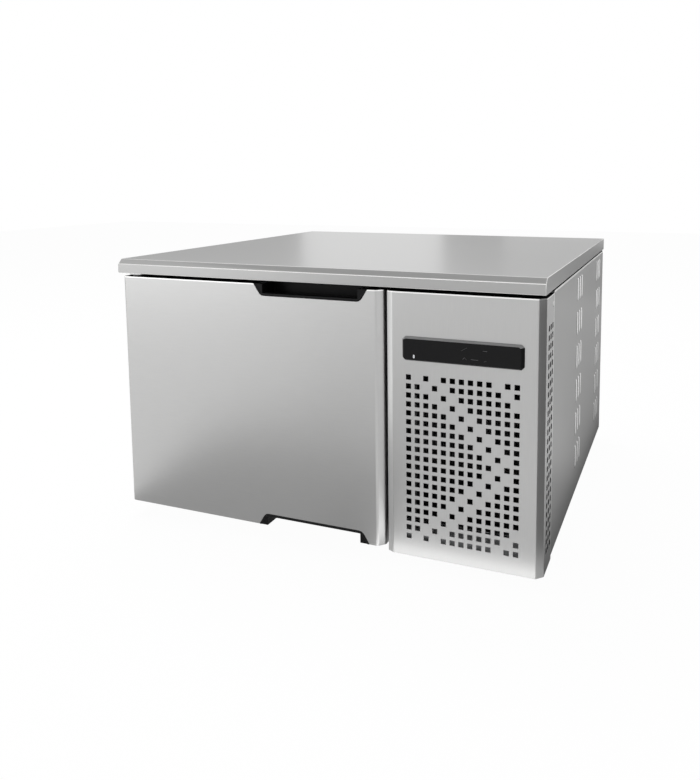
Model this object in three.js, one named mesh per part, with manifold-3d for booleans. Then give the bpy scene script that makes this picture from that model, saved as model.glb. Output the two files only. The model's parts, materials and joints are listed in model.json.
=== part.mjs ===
// A low blast chiller for a kitchen counter. On the left is an insulated chamber behind a
// side-hung door, on the right a condensing unit behind a perforated folded panel, and one
// worktop covers both. Millimetres, +Z up, the front faces -Y, and the origin is on the floor
// under the centre of the worktop.

import * as THREE from 'three';
import { mergeVertices } from 'three/addons/utils/BufferGeometryUtils.js';
import Module from 'manifold-3d';

const wasm = await Module();
wasm.setup();

// ---------------------------------------------------------------- driving dimensions

// Whole object
const worktopWidth = 750;
const worktopDepth = 700;
const worktopThickness = 24;
const overallHeight = 468;
const groundClearance = 22;      // floor to the lowest edge of the perforated panel
const fitGap = 0.3;              // between any two pieces that meet
const sheet = 1.2;               // wall of the folded steel sheets

// Worktop nose and overhang
const bodyInset = 1.5;           // the body stands this far inside the worktop at the sides and back
const noseBevelDepth = 9;
const noseBevelHeight = 8;
const noseLedge = 1.2;

// Fronts
const faceSetback = 10;          // worktop nose to the door's face
const doorThickness = 56;
const gasketThickness = 10;
const topReveal = 7;             // dark gap under the worktop
const edgeBevel = 10.5;          // upright bevels of the panel and of the door's free edge
const hingeSideBevel = 3;        // upright bevel of the door's other edge
const doorWidth = 496;
const doorRise = 5;              // the door's lower edge above the panel's
const bodyRise = 6;              // the body's lower edge above the panel's
const doorToPanel = 6;

// Insulated cell
const wallInsulation = 55;
const floorInsulation = 45;
const linerSheet = 1;
const linerCorner = 12;
const baseHeight = 14;
const cellPastDoor = 1.5;

// Door parts
const gasketMargin = 24;         // gasket's outer edge outside the chamber opening
const gasketWidth = 18;
const linerPlate = 2;
const plugRise = 7;              // raised middle of the door's inner panel
const plugInset = 10;
const hingeInset = 16;           // hinge axis from the door's left edge
const hingeSetback = 20;         // hinge axis behind the door's face
const pinRadius = 4;
const pinRunning = 0.35;         // a pin's running clearance in its bush
const pressGap = 0.05;           // left round a pin that is pressed in its bracket
const bushWall = 2.6;
const bushDepth = 13;
const hingePlate = 3;
const hingeLeaf = 34;

// Recessed pull handles, one on the top edge and one on the bottom edge
const handleCentreFromRight = 126.5;
const handleWideWidth = 204;
const handleNarrowWidth = 179;
const handleHeight = 20;
const handleCorner = 6;
const handleLip = 4;
const handleTubWidth = 194;
const handleTubHeight = 44;
const handleTubDepth = 42;
const handleWall = 3;

// Perforated panel
const holePitch = 14;
const holeSize = 7.6;
const topRowDrop = 130.8;        // panel's top edge to its first row of holes
const rowMargin = 30;            // least height left plain below the last row
const columnMargin = 37;         // panel's upright edges to the nearest column of holes
const sideColumns = 3;
const sideColumnBack = 27;       // panel's face to the first column on its side
const sideExtraRows = 6;         // the side's rows go on this far above the front's
const sideScrewBack = 57;
const sideScrewDrop = 15;
const screwRadius = 2;
const screwHeadRadius = 4.4;
const screwHeadHeight = 1.2;
const screwLength = 11;

// Controller
const controlWidth = 186;
const controlHeight = 37;
const controlCorner = 6;
const controlBevel = 3;
const controlProud = 6;
const controlDrop = 85;          // panel's top edge to the controller's middle
const neckWidth = 150;
const neckHeight = 28;
const neckDepth = 20;
const windowMargin = 3.2;
const windowThickness = 0.8;

// Louvres of the right side
const louvreLength = 42;
const louvreWidth = 10;
const louvreRise = 1.4;
const louvrePitch = 24;
const louvreRowPitch = 62;
const louvreRows = 6;
const louvreGroupBacks = [263, 536];   // body front to the middle of each group of three
const louvreMiddleHeight = 252;
const louvreMouth = 1.5;         // open gap behind each flap's free edge

// Rear sheet, cord inlet, feet and drain
const ventRows = 7;
const ventPitch = 38;
const ventLength = 84;
const ventHeight = 10;
const ventSpread = 104;          // between the two columns of vents
const ventRise = 130;            // body's lower edge to the lowest vent
const inletInset = 30;
const inletRise = 40;
const bushBore = 5;
const bushNeck = 9;
const bushFlange = 13;
const footInset = 70;
const footSetback = 60;
const footPad = 19;
const footNeck = 11;
const footCollar = 12;
const footStem = 5;
const baseRibs = [200, 410];     // body front to the middle of each pressed rib of the base
const baseRibWidth = 32;
const drainSetback = 110;
const drainRadius = 9;
const drainFlange = 17;

// Tray rack for three 354 by 325 trays
const trayLevels = 3;
const trayPitch = 80;
const lowestTray = 142;
const runnerReach = 23;
const runnerHeight = 14;
const runnerSheet = 1.5;
const rackDepth = 328;
const postWidth = 22;
const postDepth = 9;

// Evaporator side of the chamber
const baffleBack = 348;          // body front to the fan baffle
const baffleDepth = 30;
const evaporatorFanRadius = 88;
const fanRunning = 4;            // blade tips to the edge of their opening
const evaporatorDepth = 80;
const evaporatorHeight = 250;
const evaporatorFinPitch = 16;

// Condensing unit
const trayInset = 4;
const trayEdge = 10;
const unitLength = 477;
const condenserWidth = 204;
const condenserHeight = 250;
const condenserDepth = 44;
const condenserFinPitch = 10;
const condenserFanRadius = 92;
const compressorRadius = 78;
const compressorHeight = 176;
const compressorBack = 344;      // body front to the compressor's axis
const grommetHeight = 12;
const portSpread = 40;           // compressor ports either side of its axis
const portRise = 8;              // and above its top

// ---------------------------------------------------------------- shared places

const left = -worktopWidth / 2;
const right = worktopWidth / 2;
const front = -worktopDepth / 2;
const back = worktopDepth / 2;
const worktopUnder = overallHeight - worktopThickness;

const bodyLeft = left + bodyInset;
const bodyRight = right - bodyInset;
const bodyBack = back - bodyInset;
const bodyBottom = groundClearance + bodyRise;
const bodyTop = worktopUnder - fitGap;
const faceY = front + faceSetback;
const doorBack = faceY + doorThickness;
const bodyFront = doorBack + gasketThickness;
const faceTop = worktopUnder - topReveal;

const doorLeft = bodyLeft;
const doorRight = doorLeft + doorWidth;
const doorBottom = groundClearance + doorRise;
const panelLeft = doorRight + doorToPanel;
const panelRight = bodyRight;
const panelBottom = groundClearance;

const cellLeft = bodyLeft + sheet + fitGap;
const cellRight = doorRight + cellPastDoor;
const cellBottom = bodyBottom + baseHeight + fitGap;
const cellFront = bodyFront + sheet + fitGap;
const cellBack = bodyBack - sheet - fitGap;
const dividerRight = cellRight + fitGap + sheet;

const chamberLeft = cellLeft + wallInsulation + fitGap + linerSheet;
const chamberRight = cellRight - wallInsulation - fitGap - linerSheet;
const chamberFloor = cellBottom + floorInsulation + fitGap + linerSheet;
const chamberCeiling = bodyTop - floorInsulation - fitGap - linerSheet;
const chamberBack = cellBack - wallInsulation - fitGap - linerSheet;
const chamberMiddleX = (chamberLeft + chamberRight) / 2;
const chamberMiddleZ = (chamberFloor + chamberCeiling) / 2;

const hingeX = doorLeft + hingeInset;
const hingeY = faceY + hingeSetback;
const handleX = doorRight - handleCentreFromRight;
const controlX = (panelLeft + panelRight) / 2;
const controlZ = faceTop - controlDrop;
const holeColumns = 1 + Math.floor((panelRight - panelLeft - 2 * columnMargin) / holePitch);
const holeRows = 1 + Math.floor((faceTop - topRowDrop - panelBottom - rowMargin) / holePitch);

const baffleY = bodyFront + baffleBack;
const evaporatorBack = chamberBack - 14;
const evaporatorFront = evaporatorBack - evaporatorDepth;
const evaporatorLeft = chamberLeft + 26;
const evaporatorRight = chamberRight - 26;
const evaporatorBottom = chamberMiddleZ - evaporatorHeight / 2;
const evaporatorTop = chamberMiddleZ + evaporatorHeight / 2;
const linesY = evaporatorBack - 30;
const liquidZ = evaporatorBottom + 14;
const suctionZ = evaporatorTop - 14;
const liquidRadius = 3.5;
const suctionRadius = 6;
const dischargeRadius = 4.5;
const condensateRadius = 3.5;
const refrigerantGap = 2;        // round a refrigerant line where it goes through a wall

const unitLeft = dividerRight + trayInset;
const unitRight = bodyRight - sheet - fitGap - trayInset;
const unitX = (unitLeft + unitRight) / 2;
const unitFront = bodyFront + 12;
const unitFloor = cellBottom + 1.5;
const condenserBottom = unitFloor + fitGap;
const condenserTop = condenserBottom + condenserHeight;
const condenserBack = unitFront + condenserDepth;
const condenserFanZ = (condenserBottom + condenserTop) / 2;
const shroudFront = condenserBack + fitGap;
const shroudBack = shroudFront + 32;
const portX = unitX + condenserWidth / 2 + 6.5;
const portTopZ = condenserTop - 14;
const portBottomZ = condenserBottom + 18;
const portEnd = condenserBack + 12;
const compressorY = bodyFront + compressorBack;
const compressorBase = unitFloor + fitGap + grommetHeight + fitGap;
const compressorTop = compressorBase + compressorHeight;
const drierX = portX - 1.5;
const drierFront = compressorY - 10;
const drierLength = 110;

// ---------------------------------------------------------------- solids and outlines

// A manifold solid from a closed geometry: only positions, shared corners merged
function toSolid(geometry) {
  const bare = geometry.clone();
  bare.deleteAttribute('normal');
  bare.deleteAttribute('uv');
  const merged = mergeVertices(bare, 1e-4);
  const corners = merged.index.array;
  const kept = [];
  for (let i = 0; i < corners.length; i += 3) {
    const [a, b, c] = [corners[i], corners[i + 1], corners[i + 2]];
    if (a !== b && b !== c && c !== a) kept.push(a, b, c);
  }
  return new wasm.Manifold(new wasm.Mesh({
    numProp: 3,
    vertProperties: new Float32Array(merged.attributes.position.array),
    triVerts: new Uint32Array(kept),
  }));
}

function toGeometry(solid) {
  const mesh = solid.getMesh();
  const geometry = new THREE.BufferGeometry();
  geometry.setAttribute('position', new THREE.BufferAttribute(mesh.vertProperties, 3));
  geometry.setIndex(new THREE.BufferAttribute(mesh.triVerts, 1));
  geometry.computeVertexNormals();
  return geometry;
}

const unionOf = (pieces) => wasm.Manifold.union(pieces.map(toSolid));
const join = (...pieces) => toGeometry(unionOf(pieces));
const cut = (body, ...tools) => toGeometry(toSolid(body).subtract(unionOf(tools)));

function polygon(points) {
  return new THREE.Shape(points.map(([u, v]) => new THREE.Vector2(u, v)));
}

// A rectangle between two corners with round corners, as an outline
function roundedRectangle(u0, v0, u1, v1, radius) {
  const shape = new THREE.Shape();
  shape.absarc(u1 - radius, v0 + radius, radius, -Math.PI / 2, 0);
  shape.absarc(u1 - radius, v1 - radius, radius, 0, Math.PI / 2);
  shape.absarc(u0 + radius, v1 - radius, radius, Math.PI / 2, Math.PI);
  shape.absarc(u0 + radius, v0 + radius, radius, Math.PI, 1.5 * Math.PI);
  return shape;
}

function circle(radius, u = 0, v = 0) {
  return new THREE.Shape().absarc(u, v, radius, 0, 2 * Math.PI);
}

function extruded(shape, length, curveSegments) {
  return new THREE.ExtrudeGeometry(shape, { depth: length, bevelEnabled: false, curveSegments });
}

// An outline in X and Y carried up from z0 to z1
function alongZ(shape, z0, z1, curveSegments = 6) {
  return extruded(shape, z1 - z0, curveSegments).translate(0, 0, z0);
}

// An outline in X and Z carried back from y0 to y1
function alongY(shape, y0, y1, curveSegments = 6) {
  return extruded(shape, y1 - y0, curveSegments).rotateX(Math.PI / 2).translate(0, y1, 0);
}

// An outline in Y and Z carried right from x0 to x1
function alongX(shape, x0, x1, curveSegments = 6) {
  const turn = new THREE.Matrix4().makeBasis(
    new THREE.Vector3(0, 1, 0), new THREE.Vector3(0, 0, 1), new THREE.Vector3(1, 0, 0));
  return extruded(shape, x1 - x0, curveSegments).applyMatrix4(turn).translate(x0, 0, 0);
}

function box(x0, y0, z0, x1, y1, z1) {
  return new THREE.BoxGeometry(x1 - x0, y1 - y0, z1 - z0)
    .translate((x0 + x1) / 2, (y0 + y1) / 2, (z0 + z1) / 2);
}

// A profile of [radius, distance along the axis] turned about an axis through `at`
function turned(axis, at, profile, segments = 24) {
  const points = profile.map(([radius, along]) => new THREE.Vector2(radius, along));
  const geometry = new THREE.LatheGeometry(points, segments);
  if (axis === 'z') geometry.rotateX(Math.PI / 2);
  if (axis === 'x') geometry.rotateZ(-Math.PI / 2);
  return geometry.translate(...at);
}

function rod(axis, at, radius, from, to, segments = 16) {
  return turned(axis, at, [[0, from], [radius, from], [radius, to], [0, to]], segments);
}

// A round pipe that follows a smooth curve through the points
function pipe(points, radius, steps) {
  const places = points.map((p) => new THREE.Vector3(...p));
  const path = new THREE.CatmullRomCurve3(places, false, 'centripetal');
  return new THREE.ExtrudeGeometry(circle(radius), { steps, curveSegments: 3, extrudePath: path });
}

// Plan of a front whose two upright edges are bevelled, `inset` inside its outer skin
function bevelledPlan([x0, x1], y0, y1, leftBevel, inset = 0) {
  const narrowing = inset * (2 - Math.SQRT2);
  const [bevelA, bevelB] = [leftBevel - narrowing, edgeBevel - narrowing];
  const [a, b, c] = [x0 + inset, x1 - inset, y0 + inset];
  return polygon([[a, y1], [a, c + bevelA], [a + bevelA, c], [b - bevelB, c], [b, c + bevelB], [b, y1]]);
}

// Sheet folded into a box that is open at its back
function foldedFront(across, leftBevel, y0, y1, z0, z1) {
  return cut(alongZ(bevelledPlan(across, y0, y1, leftBevel), z0, z1),
    alongZ(bevelledPlan(across, y0, y1 + 1, leftBevel, sheet), z0 + sheet, z1 - sheet));
}

// ---------------------------------------------------------------- worktop

// The nose falls back in a bevel above a narrow ledge, then drops straight
function worktopProfile(inset, under) {
  const top = overallHeight - inset;
  const ledgeZ = overallHeight - noseBevelHeight - inset;
  const noseY = front + inset;
  return polygon([
    [noseY, under], [back - inset, under], [back - inset, top], [front + noseBevelDepth + inset / 2, top],
    [noseY + noseLedge, ledgeZ], [noseY, ledgeZ],
  ]);
}

function worktop() {
  return cut(alongX(worktopProfile(0, worktopUnder), left, right),
    alongX(worktopProfile(sheet, worktopUnder - 1), left + sheet, right - sheet));
}

function worktopCore() {
  const inset = sheet + fitGap;
  return alongX(worktopProfile(inset, worktopUnder), left + inset, right - inset);
}

// ---------------------------------------------------------------- casing

function leftSidePanel() {
  const returnWidth = 12;
  return join(box(bodyLeft, bodyFront, bodyBottom, bodyLeft + sheet, bodyBack, bodyTop),
    box(bodyLeft, bodyFront, bodyBottom, bodyLeft + returnWidth, bodyFront + sheet, bodyTop));
}

// One pressed louvre: a slot with a flap that rises from its front edge
function louvreSlot(y, z) {
  return box(bodyRight - sheet - 1, y - louvreWidth / 2, z - louvreLength / 2,
    bodyRight + 1, y + louvreWidth / 2, z + louvreLength / 2);
}

function louvreFlap(y, z) {
  const start = y - louvreWidth / 2;
  const end = y + louvreWidth / 2 - louvreMouth;
  const bite = 0.5;
  const plan = polygon([
    [bodyRight - sheet, start - bite], [bodyRight, start - bite], [bodyRight + louvreRise, end],
    [bodyRight + louvreRise - sheet, end], [bodyRight - sheet, start + bite],
  ]);
  return alongZ(plan, z - louvreLength / 2 - bite, z + louvreLength / 2 + bite);
}

function louvrePlaces() {
  const places = [];
  for (const groupBack of louvreGroupBacks) {
    for (let row = 0; row < louvreRows; row += 1) {
      for (const step of [-1, 0, 1]) {
        const z = louvreMiddleHeight + (row - (louvreRows - 1) / 2) * louvreRowPitch;
        places.push([bodyFront + groupBack + step * louvrePitch, z]);
      }
    }
  }
  return places;
}

// The louvred sheet, with a tab set in at its front edge, above the side holes of the perforated
// panel, that the panel screws to
function rightSidePanel() {
  const tabOuter = bodyRight - sheet - fitGap;
  const tabReach = 26;
  const tabOverlap = 10;
  const tabFloor = rowZ(-sideExtraRows) + holeSize;
  const tabCeiling = faceTop - 8;
  const start = bodyFront + fitGap;
  const places = louvrePlaces();
  const plain = cut(box(bodyRight - sheet, start, bodyBottom, bodyRight, bodyBack, bodyTop),
    ...places.map(([y, z]) => louvreSlot(y, z)));
  const tab = box(tabOuter - sheet, bodyFront - tabReach, tabFloor,
    tabOuter, bodyFront + tabOverlap, tabCeiling);
  const joggle = box(tabOuter - sheet, start, tabFloor, bodyRight, start + sheet, tabCeiling);
  const screwHole = rod('x', [0, faceY + sideScrewBack, faceTop - sideScrewDrop],
    screwRadius + fitGap, tabOuter - sheet - 1, tabOuter + 1);
  return cut(join(plain, tab, joggle, ...places.map(([y, z]) => louvreFlap(y, z))), screwHole);
}

const inletX = unitRight - inletInset;
const inletZ = bodyBottom + inletRise;

// Rear sheet with slots behind the condensing unit and a hole for the cord's bush
function rearPanel() {
  const slots = [];
  const [halfLength, halfHeight] = [ventLength / 2, ventHeight / 2];
  for (let row = 0; row < ventRows; row += 1) {
    const z = bodyBottom + ventRise + row * ventPitch;
    for (const x of [unitX - ventSpread / 2, unitX + ventSpread / 2]) {
      slots.push(box(x - halfLength, cellBack, z - halfHeight, x + halfLength, bodyBack + 1, z + halfHeight));
    }
  }
  const hole = rod('y', [inletX, 0, inletZ], bushNeck + fitGap, cellBack, bodyBack + 1);
  const plain = box(cellLeft, bodyBack - sheet, bodyBottom, bodyRight - sheet - fitGap, bodyBack, bodyTop);
  return cut(plain, hole, ...slots);
}

// Snap-in bush that guides the supply cord: a low flange outside, a neck and a barb inside
function cordBush() {
  const [outer, inner] = [bodyBack + fitGap, bodyBack - sheet - fitGap];
  const tail = inner - 10;
  const barb = bushNeck + 1.5;
  const rim = 0.6;
  return turned('y', [inletX, 0, inletZ], [
    [bushBore, tail], [bushNeck - 1, tail], [barb, inner - 1], [barb, inner], [bushNeck, inner],
    [bushNeck, outer], [bushFlange, outer], [bushFlange, outer + rim], [bushFlange - 1, outer + 2 * rim],
    [bushBore, outer + 2 * rim], [bushBore, tail],
  ], 16);
}

const footPlaces = {
  foot_front_left: [bodyLeft + footInset, bodyFront + footSetback],
  foot_front_right: [bodyRight - footInset, bodyFront + footSetback],
  foot_rear_left: [bodyLeft + footInset, bodyBack - footSetback],
  foot_rear_right: [bodyRight - footInset, bodyBack - footSetback],
};
const drainX = chamberMiddleX;
const drainY = bodyFront + drainSetback;

// Tray-shaped base with two pressed ribs that carry the cell and the unit's tray
function basePan() {
  const [x0, x1] = [cellLeft, bodyRight - sheet - fitGap];
  const top = bodyBottom + baseHeight;
  const floorTop = bodyBottom + 3;
  const ribHalf = baseRibWidth / 2;
  const ribs = baseRibs.map((setback) => bodyFront + setback);
  const shell = cut(box(x0, cellFront, bodyBottom, x1, cellBack, top),
    box(x0 + sheet, cellFront + sheet, bodyBottom + sheet, x1 - sheet, cellBack - sheet, top + 1));
  const raised = ribs.map((y) =>
    box(x0 + sheet / 2, y - ribHalf, bodyBottom, x1 - sheet / 2, y + ribHalf, top));
  const hollows = ribs.map((y) => box(x0 + 3 * sheet, y - ribHalf + sheet, bodyBottom - 1,
    x1 - 3 * sheet, y + ribHalf - sheet, top - sheet));
  const stemHoles = Object.values(footPlaces).map(([x, y]) =>
    rod('z', [x, y, 0], footStem + 2 * fitGap, bodyBottom - 1, floorTop, 12));
  const drainHole = rod('z', [drainX, drainY, 0], drainRadius + fitGap, bodyBottom - 1, floorTop);
  return cut(join(shell, ...raised), ...hollows, ...stemHoles, drainHole);
}

// Wide pad, tapered neck, collar under the base and a stem through it
function foot([x, y]) {
  const [padTop, neckBottom, collarTop] = [4, 9, bodyBottom - fitGap];
  const stemTop = bodyBottom + 10;
  return turned('z', [x, y, 0], [
    [0, 0], [footPad, 0], [footPad, padTop], [footNeck, neckBottom], [footCollar, collarTop],
    [footStem, collarTop], [footStem, stemTop], [0, stemTop],
  ], 12);
}

// Upright sheet on the cell's right face, pierced for the two refrigerant lines
function dividerPanel() {
  const tools = [
    rod('x', [0, linesY, liquidZ], liquidRadius + refrigerantGap, cellRight - 1, dividerRight + 1, 10),
    rod('x', [0, linesY, suctionZ], suctionRadius + refrigerantGap, cellRight - 1, dividerRight + 1, 10),
  ];
  return cut(box(cellRight + fitGap, cellFront, cellBottom, dividerRight, cellBack, bodyTop), ...tools);
}

// Angle across the front of the unit's compartment, under the worktop
function compartmentRail() {
  const [x0, x1] = [dividerRight + fitGap, bodyRight - 2 * (sheet + fitGap) - fitGap];
  const [drop, shelf] = [18, 14];
  const y0 = bodyFront + 2;
  return join(box(x0, y0, bodyTop - drop, x1, y0 + sheet, bodyTop),
    box(x0, y0, bodyTop - sheet, x1, y0 + shelf, bodyTop));
}

// ---------------------------------------------------------------- insulated cell

// Chamber outline in X and Z, `outset` outside the chamber's inner faces
function chamberOutline(outset) {
  return roundedRectangle(chamberLeft - outset, chamberFloor - outset,
    chamberRight + outset, chamberCeiling + outset, linerCorner + outset);
}

function cellFoam() {
  const reach = linerSheet + fitGap;
  const tools = [
    alongY(chamberOutline(reach), cellFront - 1, chamberBack + reach, 3),
    rod('x', [0, linesY, liquidZ], liquidRadius + refrigerantGap, chamberRight - 1, cellRight + 1, 10),
    rod('x', [0, linesY, suctionZ], suctionRadius + refrigerantGap, chamberRight - 1, cellRight + 1, 10),
    rod('z', [drainX, drainY, 0], drainRadius + fitGap, cellBottom - 1, chamberFloor),
  ];
  return cut(box(cellLeft, cellFront, cellBottom, cellRight, cellBack, bodyTop), ...tools);
}

function chamberLiner() {
  return cut(alongY(chamberOutline(linerSheet), bodyFront, chamberBack + linerSheet, 3),
    alongY(chamberOutline(0), bodyFront - 1, chamberBack, 3),
    rod('x', [0, linesY, liquidZ], liquidRadius + refrigerantGap, chamberRight - 1, chamberRight + 3, 10),
    rod('x', [0, linesY, suctionZ], suctionRadius + refrigerantGap, chamberRight - 1, chamberRight + 3, 10),
    rod('z', [drainX, drainY, 0], drainRadius + fitGap, chamberFloor - 3, chamberFloor + 1));
}

// Flat frame round the chamber's mouth, which the gasket seals on
function frontFrame() {
  const x0 = bodyLeft + 12 + fitGap;
  return cut(box(x0, bodyFront, bodyBottom, dividerRight, bodyFront + sheet, bodyTop),
    alongY(chamberOutline(linerSheet + fitGap), bodyFront - 1, bodyFront + sheet + 1, 3));
}

function drainFitting() {
  const bore = drainRadius - 2;
  const tail = bodyBottom - 4;
  const [flange, flangeTop] = [chamberFloor + fitGap, chamberFloor + fitGap + 2];
  return turned('z', [drainX, drainY, 0], [
    [bore, tail], [drainRadius, tail], [drainRadius, flange], [drainFlange, flange],
    [drainFlange - 1, flangeTop], [bore, flangeTop], [bore, tail],
  ], 12);
}

// ---------------------------------------------------------------- door

// Outline of a pull's opening in X and Z; side is 1 at the door's top edge and -1 at its bottom
function handleOutline(side, outset) {
  const edge = side > 0 ? faceTop : doorBottom;
  const wide = handleWideWidth / 2 + outset;
  const narrow = handleNarrowWidth / 2 + outset;
  const deep = edge - side * (handleHeight + outset);
  const open = edge + side * 1;
  const slope = (wide - narrow) / handleHeight;
  const shape = new THREE.Shape();
  shape.moveTo(handleX - wide, open);
  shape.lineTo(handleX - wide, edge);
  shape.lineTo(handleX - narrow - slope * handleCorner, deep + side * handleCorner);
  shape.quadraticCurveTo(handleX - narrow, deep, handleX - narrow + handleCorner, deep);
  shape.lineTo(handleX + narrow - handleCorner, deep);
  shape.quadraticCurveTo(handleX + narrow, deep,
    handleX + narrow + slope * handleCorner, deep + side * handleCorner);
  shape.lineTo(handleX + wide, edge);
  shape.lineTo(handleX + wide, open);
  return shape;
}

// Box of a pull's tub behind the door's face, grown by `outset`
function handleTub(side, outset) {
  const edge = side > 0 ? faceTop : doorBottom;
  const inner = edge - side * (handleTubHeight + outset);
  const outer = edge + side * outset;
  const half = handleTubWidth / 2 + outset;
  return box(handleX - half, faceY + handleLip - 0.5 - outset, Math.min(inner, outer),
    handleX + half, faceY + handleTubDepth + outset, Math.max(inner, outer));
}

// The scoop's section in Y and Z: fingers go over the lip and down behind it
function handleScoop(side) {
  const edge = side > 0 ? faceTop : doorBottom;
  const lipZ = edge - side * (handleHeight - handleLip);
  const floorZ = edge - side * (handleTubHeight - handleWall);
  const [y0, y1] = [faceY + handleLip + 1, faceY + handleTubDepth - handleWall];
  const shape = new THREE.Shape();
  shape.moveTo(faceY - 2, edge + side * 2);
  shape.lineTo(faceY - 2, lipZ);
  shape.lineTo(y0, lipZ);
  shape.lineTo(y0 + 1, floorZ + side * 10);
  shape.quadraticCurveTo(y0 + 2, floorZ, y0 + 12, floorZ);
  shape.quadraticCurveTo(y1, floorZ, y1, floorZ + side * 14);
  shape.lineTo(y1, edge + side * 2);
  const half = handleNarrowWidth / 2 - handleLip;
  return alongX(shape, handleX - half, handleX + half, 4);
}

function handle(side) {
  const edge = side > 0 ? faceTop : doorBottom;
  const lipPlate = alongY(handleOutline(side, -fitGap), faceY, faceY + handleLip, 3);
  const far = edge + side * 10;
  const beyond = box(left, front, Math.min(edge, far), right, 0, Math.max(edge, far));
  return cut(join(lipPlate, handleTub(side, 0)), beyond, handleScoop(side));
}

const bushHole = pinRadius + pinRunning;
const bushOuter = bushHole + bushWall;

// Pocket for a hinge bush, through the door's top or bottom edge
function bushPocket(side) {
  const edge = side > 0 ? faceTop : doorBottom;
  const deep = edge - side * (bushDepth + fitGap);
  const open = edge + side;
  return rod('z', [hingeX, hingeY, 0], bushOuter + fitGap, Math.min(deep, open), Math.max(deep, open), 16);
}

function doorSkin() {
  const shell = foldedFront([doorLeft, doorRight], hingeSideBevel, faceY, doorBack, doorBottom, faceTop);
  const tools = [];
  for (const side of [1, -1]) {
    tools.push(alongY(handleOutline(side, 0), faceY - 1, faceY + handleLip + fitGap, 3));
    tools.push(handleTub(side, fitGap), bushPocket(side));
  }
  return cut(shell, ...tools);
}

const foamBack = doorBack - linerPlate - fitGap;

function doorFoam() {
  const inset = sheet + fitGap;
  const block = alongZ(bevelledPlan([doorLeft, doorRight], faceY, foamBack, hingeSideBevel, inset),
    doorBottom + inset, faceTop - inset);
  const tools = [];
  for (const side of [1, -1]) {
    tools.push(alongY(handleOutline(side, fitGap), faceY, faceY + handleLip + fitGap, 3));
    tools.push(handleTub(side, fitGap), bushPocket(side));
  }
  return cut(block, ...tools);
}

// Pressed inner panel whose middle stands towards the chamber
function doorLiner() {
  const inset = sheet + fitGap;
  const plug = (grow, y0, y1) => alongY(roundedRectangle(
    chamberLeft + plugInset - grow, chamberFloor + plugInset - grow,
    chamberRight - plugInset + grow, chamberCeiling - plugInset + grow, linerCorner), y0, y1, 3);
  const plate = box(doorLeft + inset, doorBack - linerPlate, doorBottom + inset,
    doorRight - inset, doorBack, faceTop - inset);
  const raised = join(plate, plug(0, doorBack - linerPlate, doorBack + plugRise));
  return cut(raised, plug(-linerPlate, doorBack - linerPlate - 1, doorBack + plugRise - linerPlate),
    bushPocket(1), bushPocket(-1));
}

// Magnetic gasket: a wide foot, a narrow bellows and a flat sealing face
function doorGasket() {
  const ring = (grow, width, y0, y1) => {
    const m = gasketMargin + grow;
    const outer = roundedRectangle(
      chamberLeft - m, chamberFloor - m, chamberRight + m, chamberCeiling + m, 10);
    const n = m - width;
    outer.holes.push(new THREE.Path(roundedRectangle(
      chamberLeft - n, chamberFloor - n, chamberRight + n, chamberCeiling + n, 4).getPoints(1)));
    return alongY(outer, y0, y1, 1);
  };
  return join(ring(0, gasketWidth, doorBack + fitGap, doorBack + 3),
    ring(-4, gasketWidth - 8, doorBack + 2.9, doorBack + 6.1),
    ring(-2, gasketWidth - 4, doorBack + 6, bodyFront - fitGap));
}

// ---------------------------------------------------------------- hinges

// Angle bracket: one leaf on the body's front, one past the door's edge; side as for handles
function hingeBracket(side) {
  const edge = side > 0 ? faceTop : doorBottom;
  const nearZ = edge + side * 1.5;
  const farZ = nearZ + side * hingePlate;
  const leafEnd = edge - side * hingeLeaf;
  const [x0, x1] = [doorLeft + 2, hingeX + 14];
  const arm = alongZ(roundedRectangle(x0, hingeY - 9, x1, bodyFront - fitGap, 5),
    Math.min(nearZ, farZ), Math.max(nearZ, farZ), 3);
  const leaf = box(x0, bodyFront - fitGap - hingePlate, Math.min(farZ, leafEnd),
    x1, bodyFront - fitGap, Math.max(farZ, leafEnd));
  const hole = rod('z', [hingeX, hingeY, 0], pinRadius + pressGap,
    Math.min(nearZ, farZ) - 1, Math.max(nearZ, farZ) + 1, 16);
  return cut(join(arm, leaf), hole);
}

// Headless pin pressed in the bracket, with its free end in the door's bush
function hingePin(side) {
  const edge = side > 0 ? faceTop : doorBottom;
  const fixed = edge + side * (1.5 + hingePlate);
  const free = edge - side * (bushDepth - 1.5);
  return rod('z', [hingeX, hingeY, 0], pinRadius, Math.min(fixed, free), Math.max(fixed, free), 16);
}

// Flanged plastic bush in the door
function hingeBush(side) {
  const edge = side > 0 ? faceTop : doorBottom;
  const flangeNear = edge + side * fitGap;
  const flangeFar = edge + side * 1.2;
  const deep = edge - side * bushDepth;
  const flangeRadius = bushOuter + 2.5;
  const profile = [
    [bushHole, deep], [bushOuter, deep], [bushOuter, flangeNear], [flangeRadius, flangeNear],
    [flangeRadius, flangeFar], [bushHole, flangeFar], [bushHole, deep],
  ];
  if (side < 0) profile.reverse();
  return turned('z', [hingeX, hingeY, 0], profile, 16);
}

// ---------------------------------------------------------------- perforated panel

// Which holes of the pattern are punched. Counting rows from the nearer end, each hole's
// diagonal is its column less its row, and three diagonals are left blank.
const blankDiagonals = [1, 3, 10];

function isPunched(column, row) {
  const fromEnd = Math.min(row, holeRows - 1 - row);
  const diagonal = column - fromEnd;
  const tipOfChevron = column === holeColumns - 1 && row === (holeRows - 1) / 2;
  return tipOfChevron || !blankDiagonals.includes(diagonal);
}

const rowZ = (row) => faceTop - topRowDrop - row * holePitch;

function frontHoles() {
  const holes = [];
  const half = holeSize / 2;
  for (let column = 0; column < holeColumns; column += 1) {
    for (let row = 0; row < holeRows; row += 1) {
      if (!isPunched(column, row)) continue;
      const [x, z] = [panelLeft + columnMargin + column * holePitch, rowZ(row)];
      holes.push(box(x - half, faceY - 1, z - half, x + half, faceY + sheet + 1, z + half));
    }
  }
  return holes;
}

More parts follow.
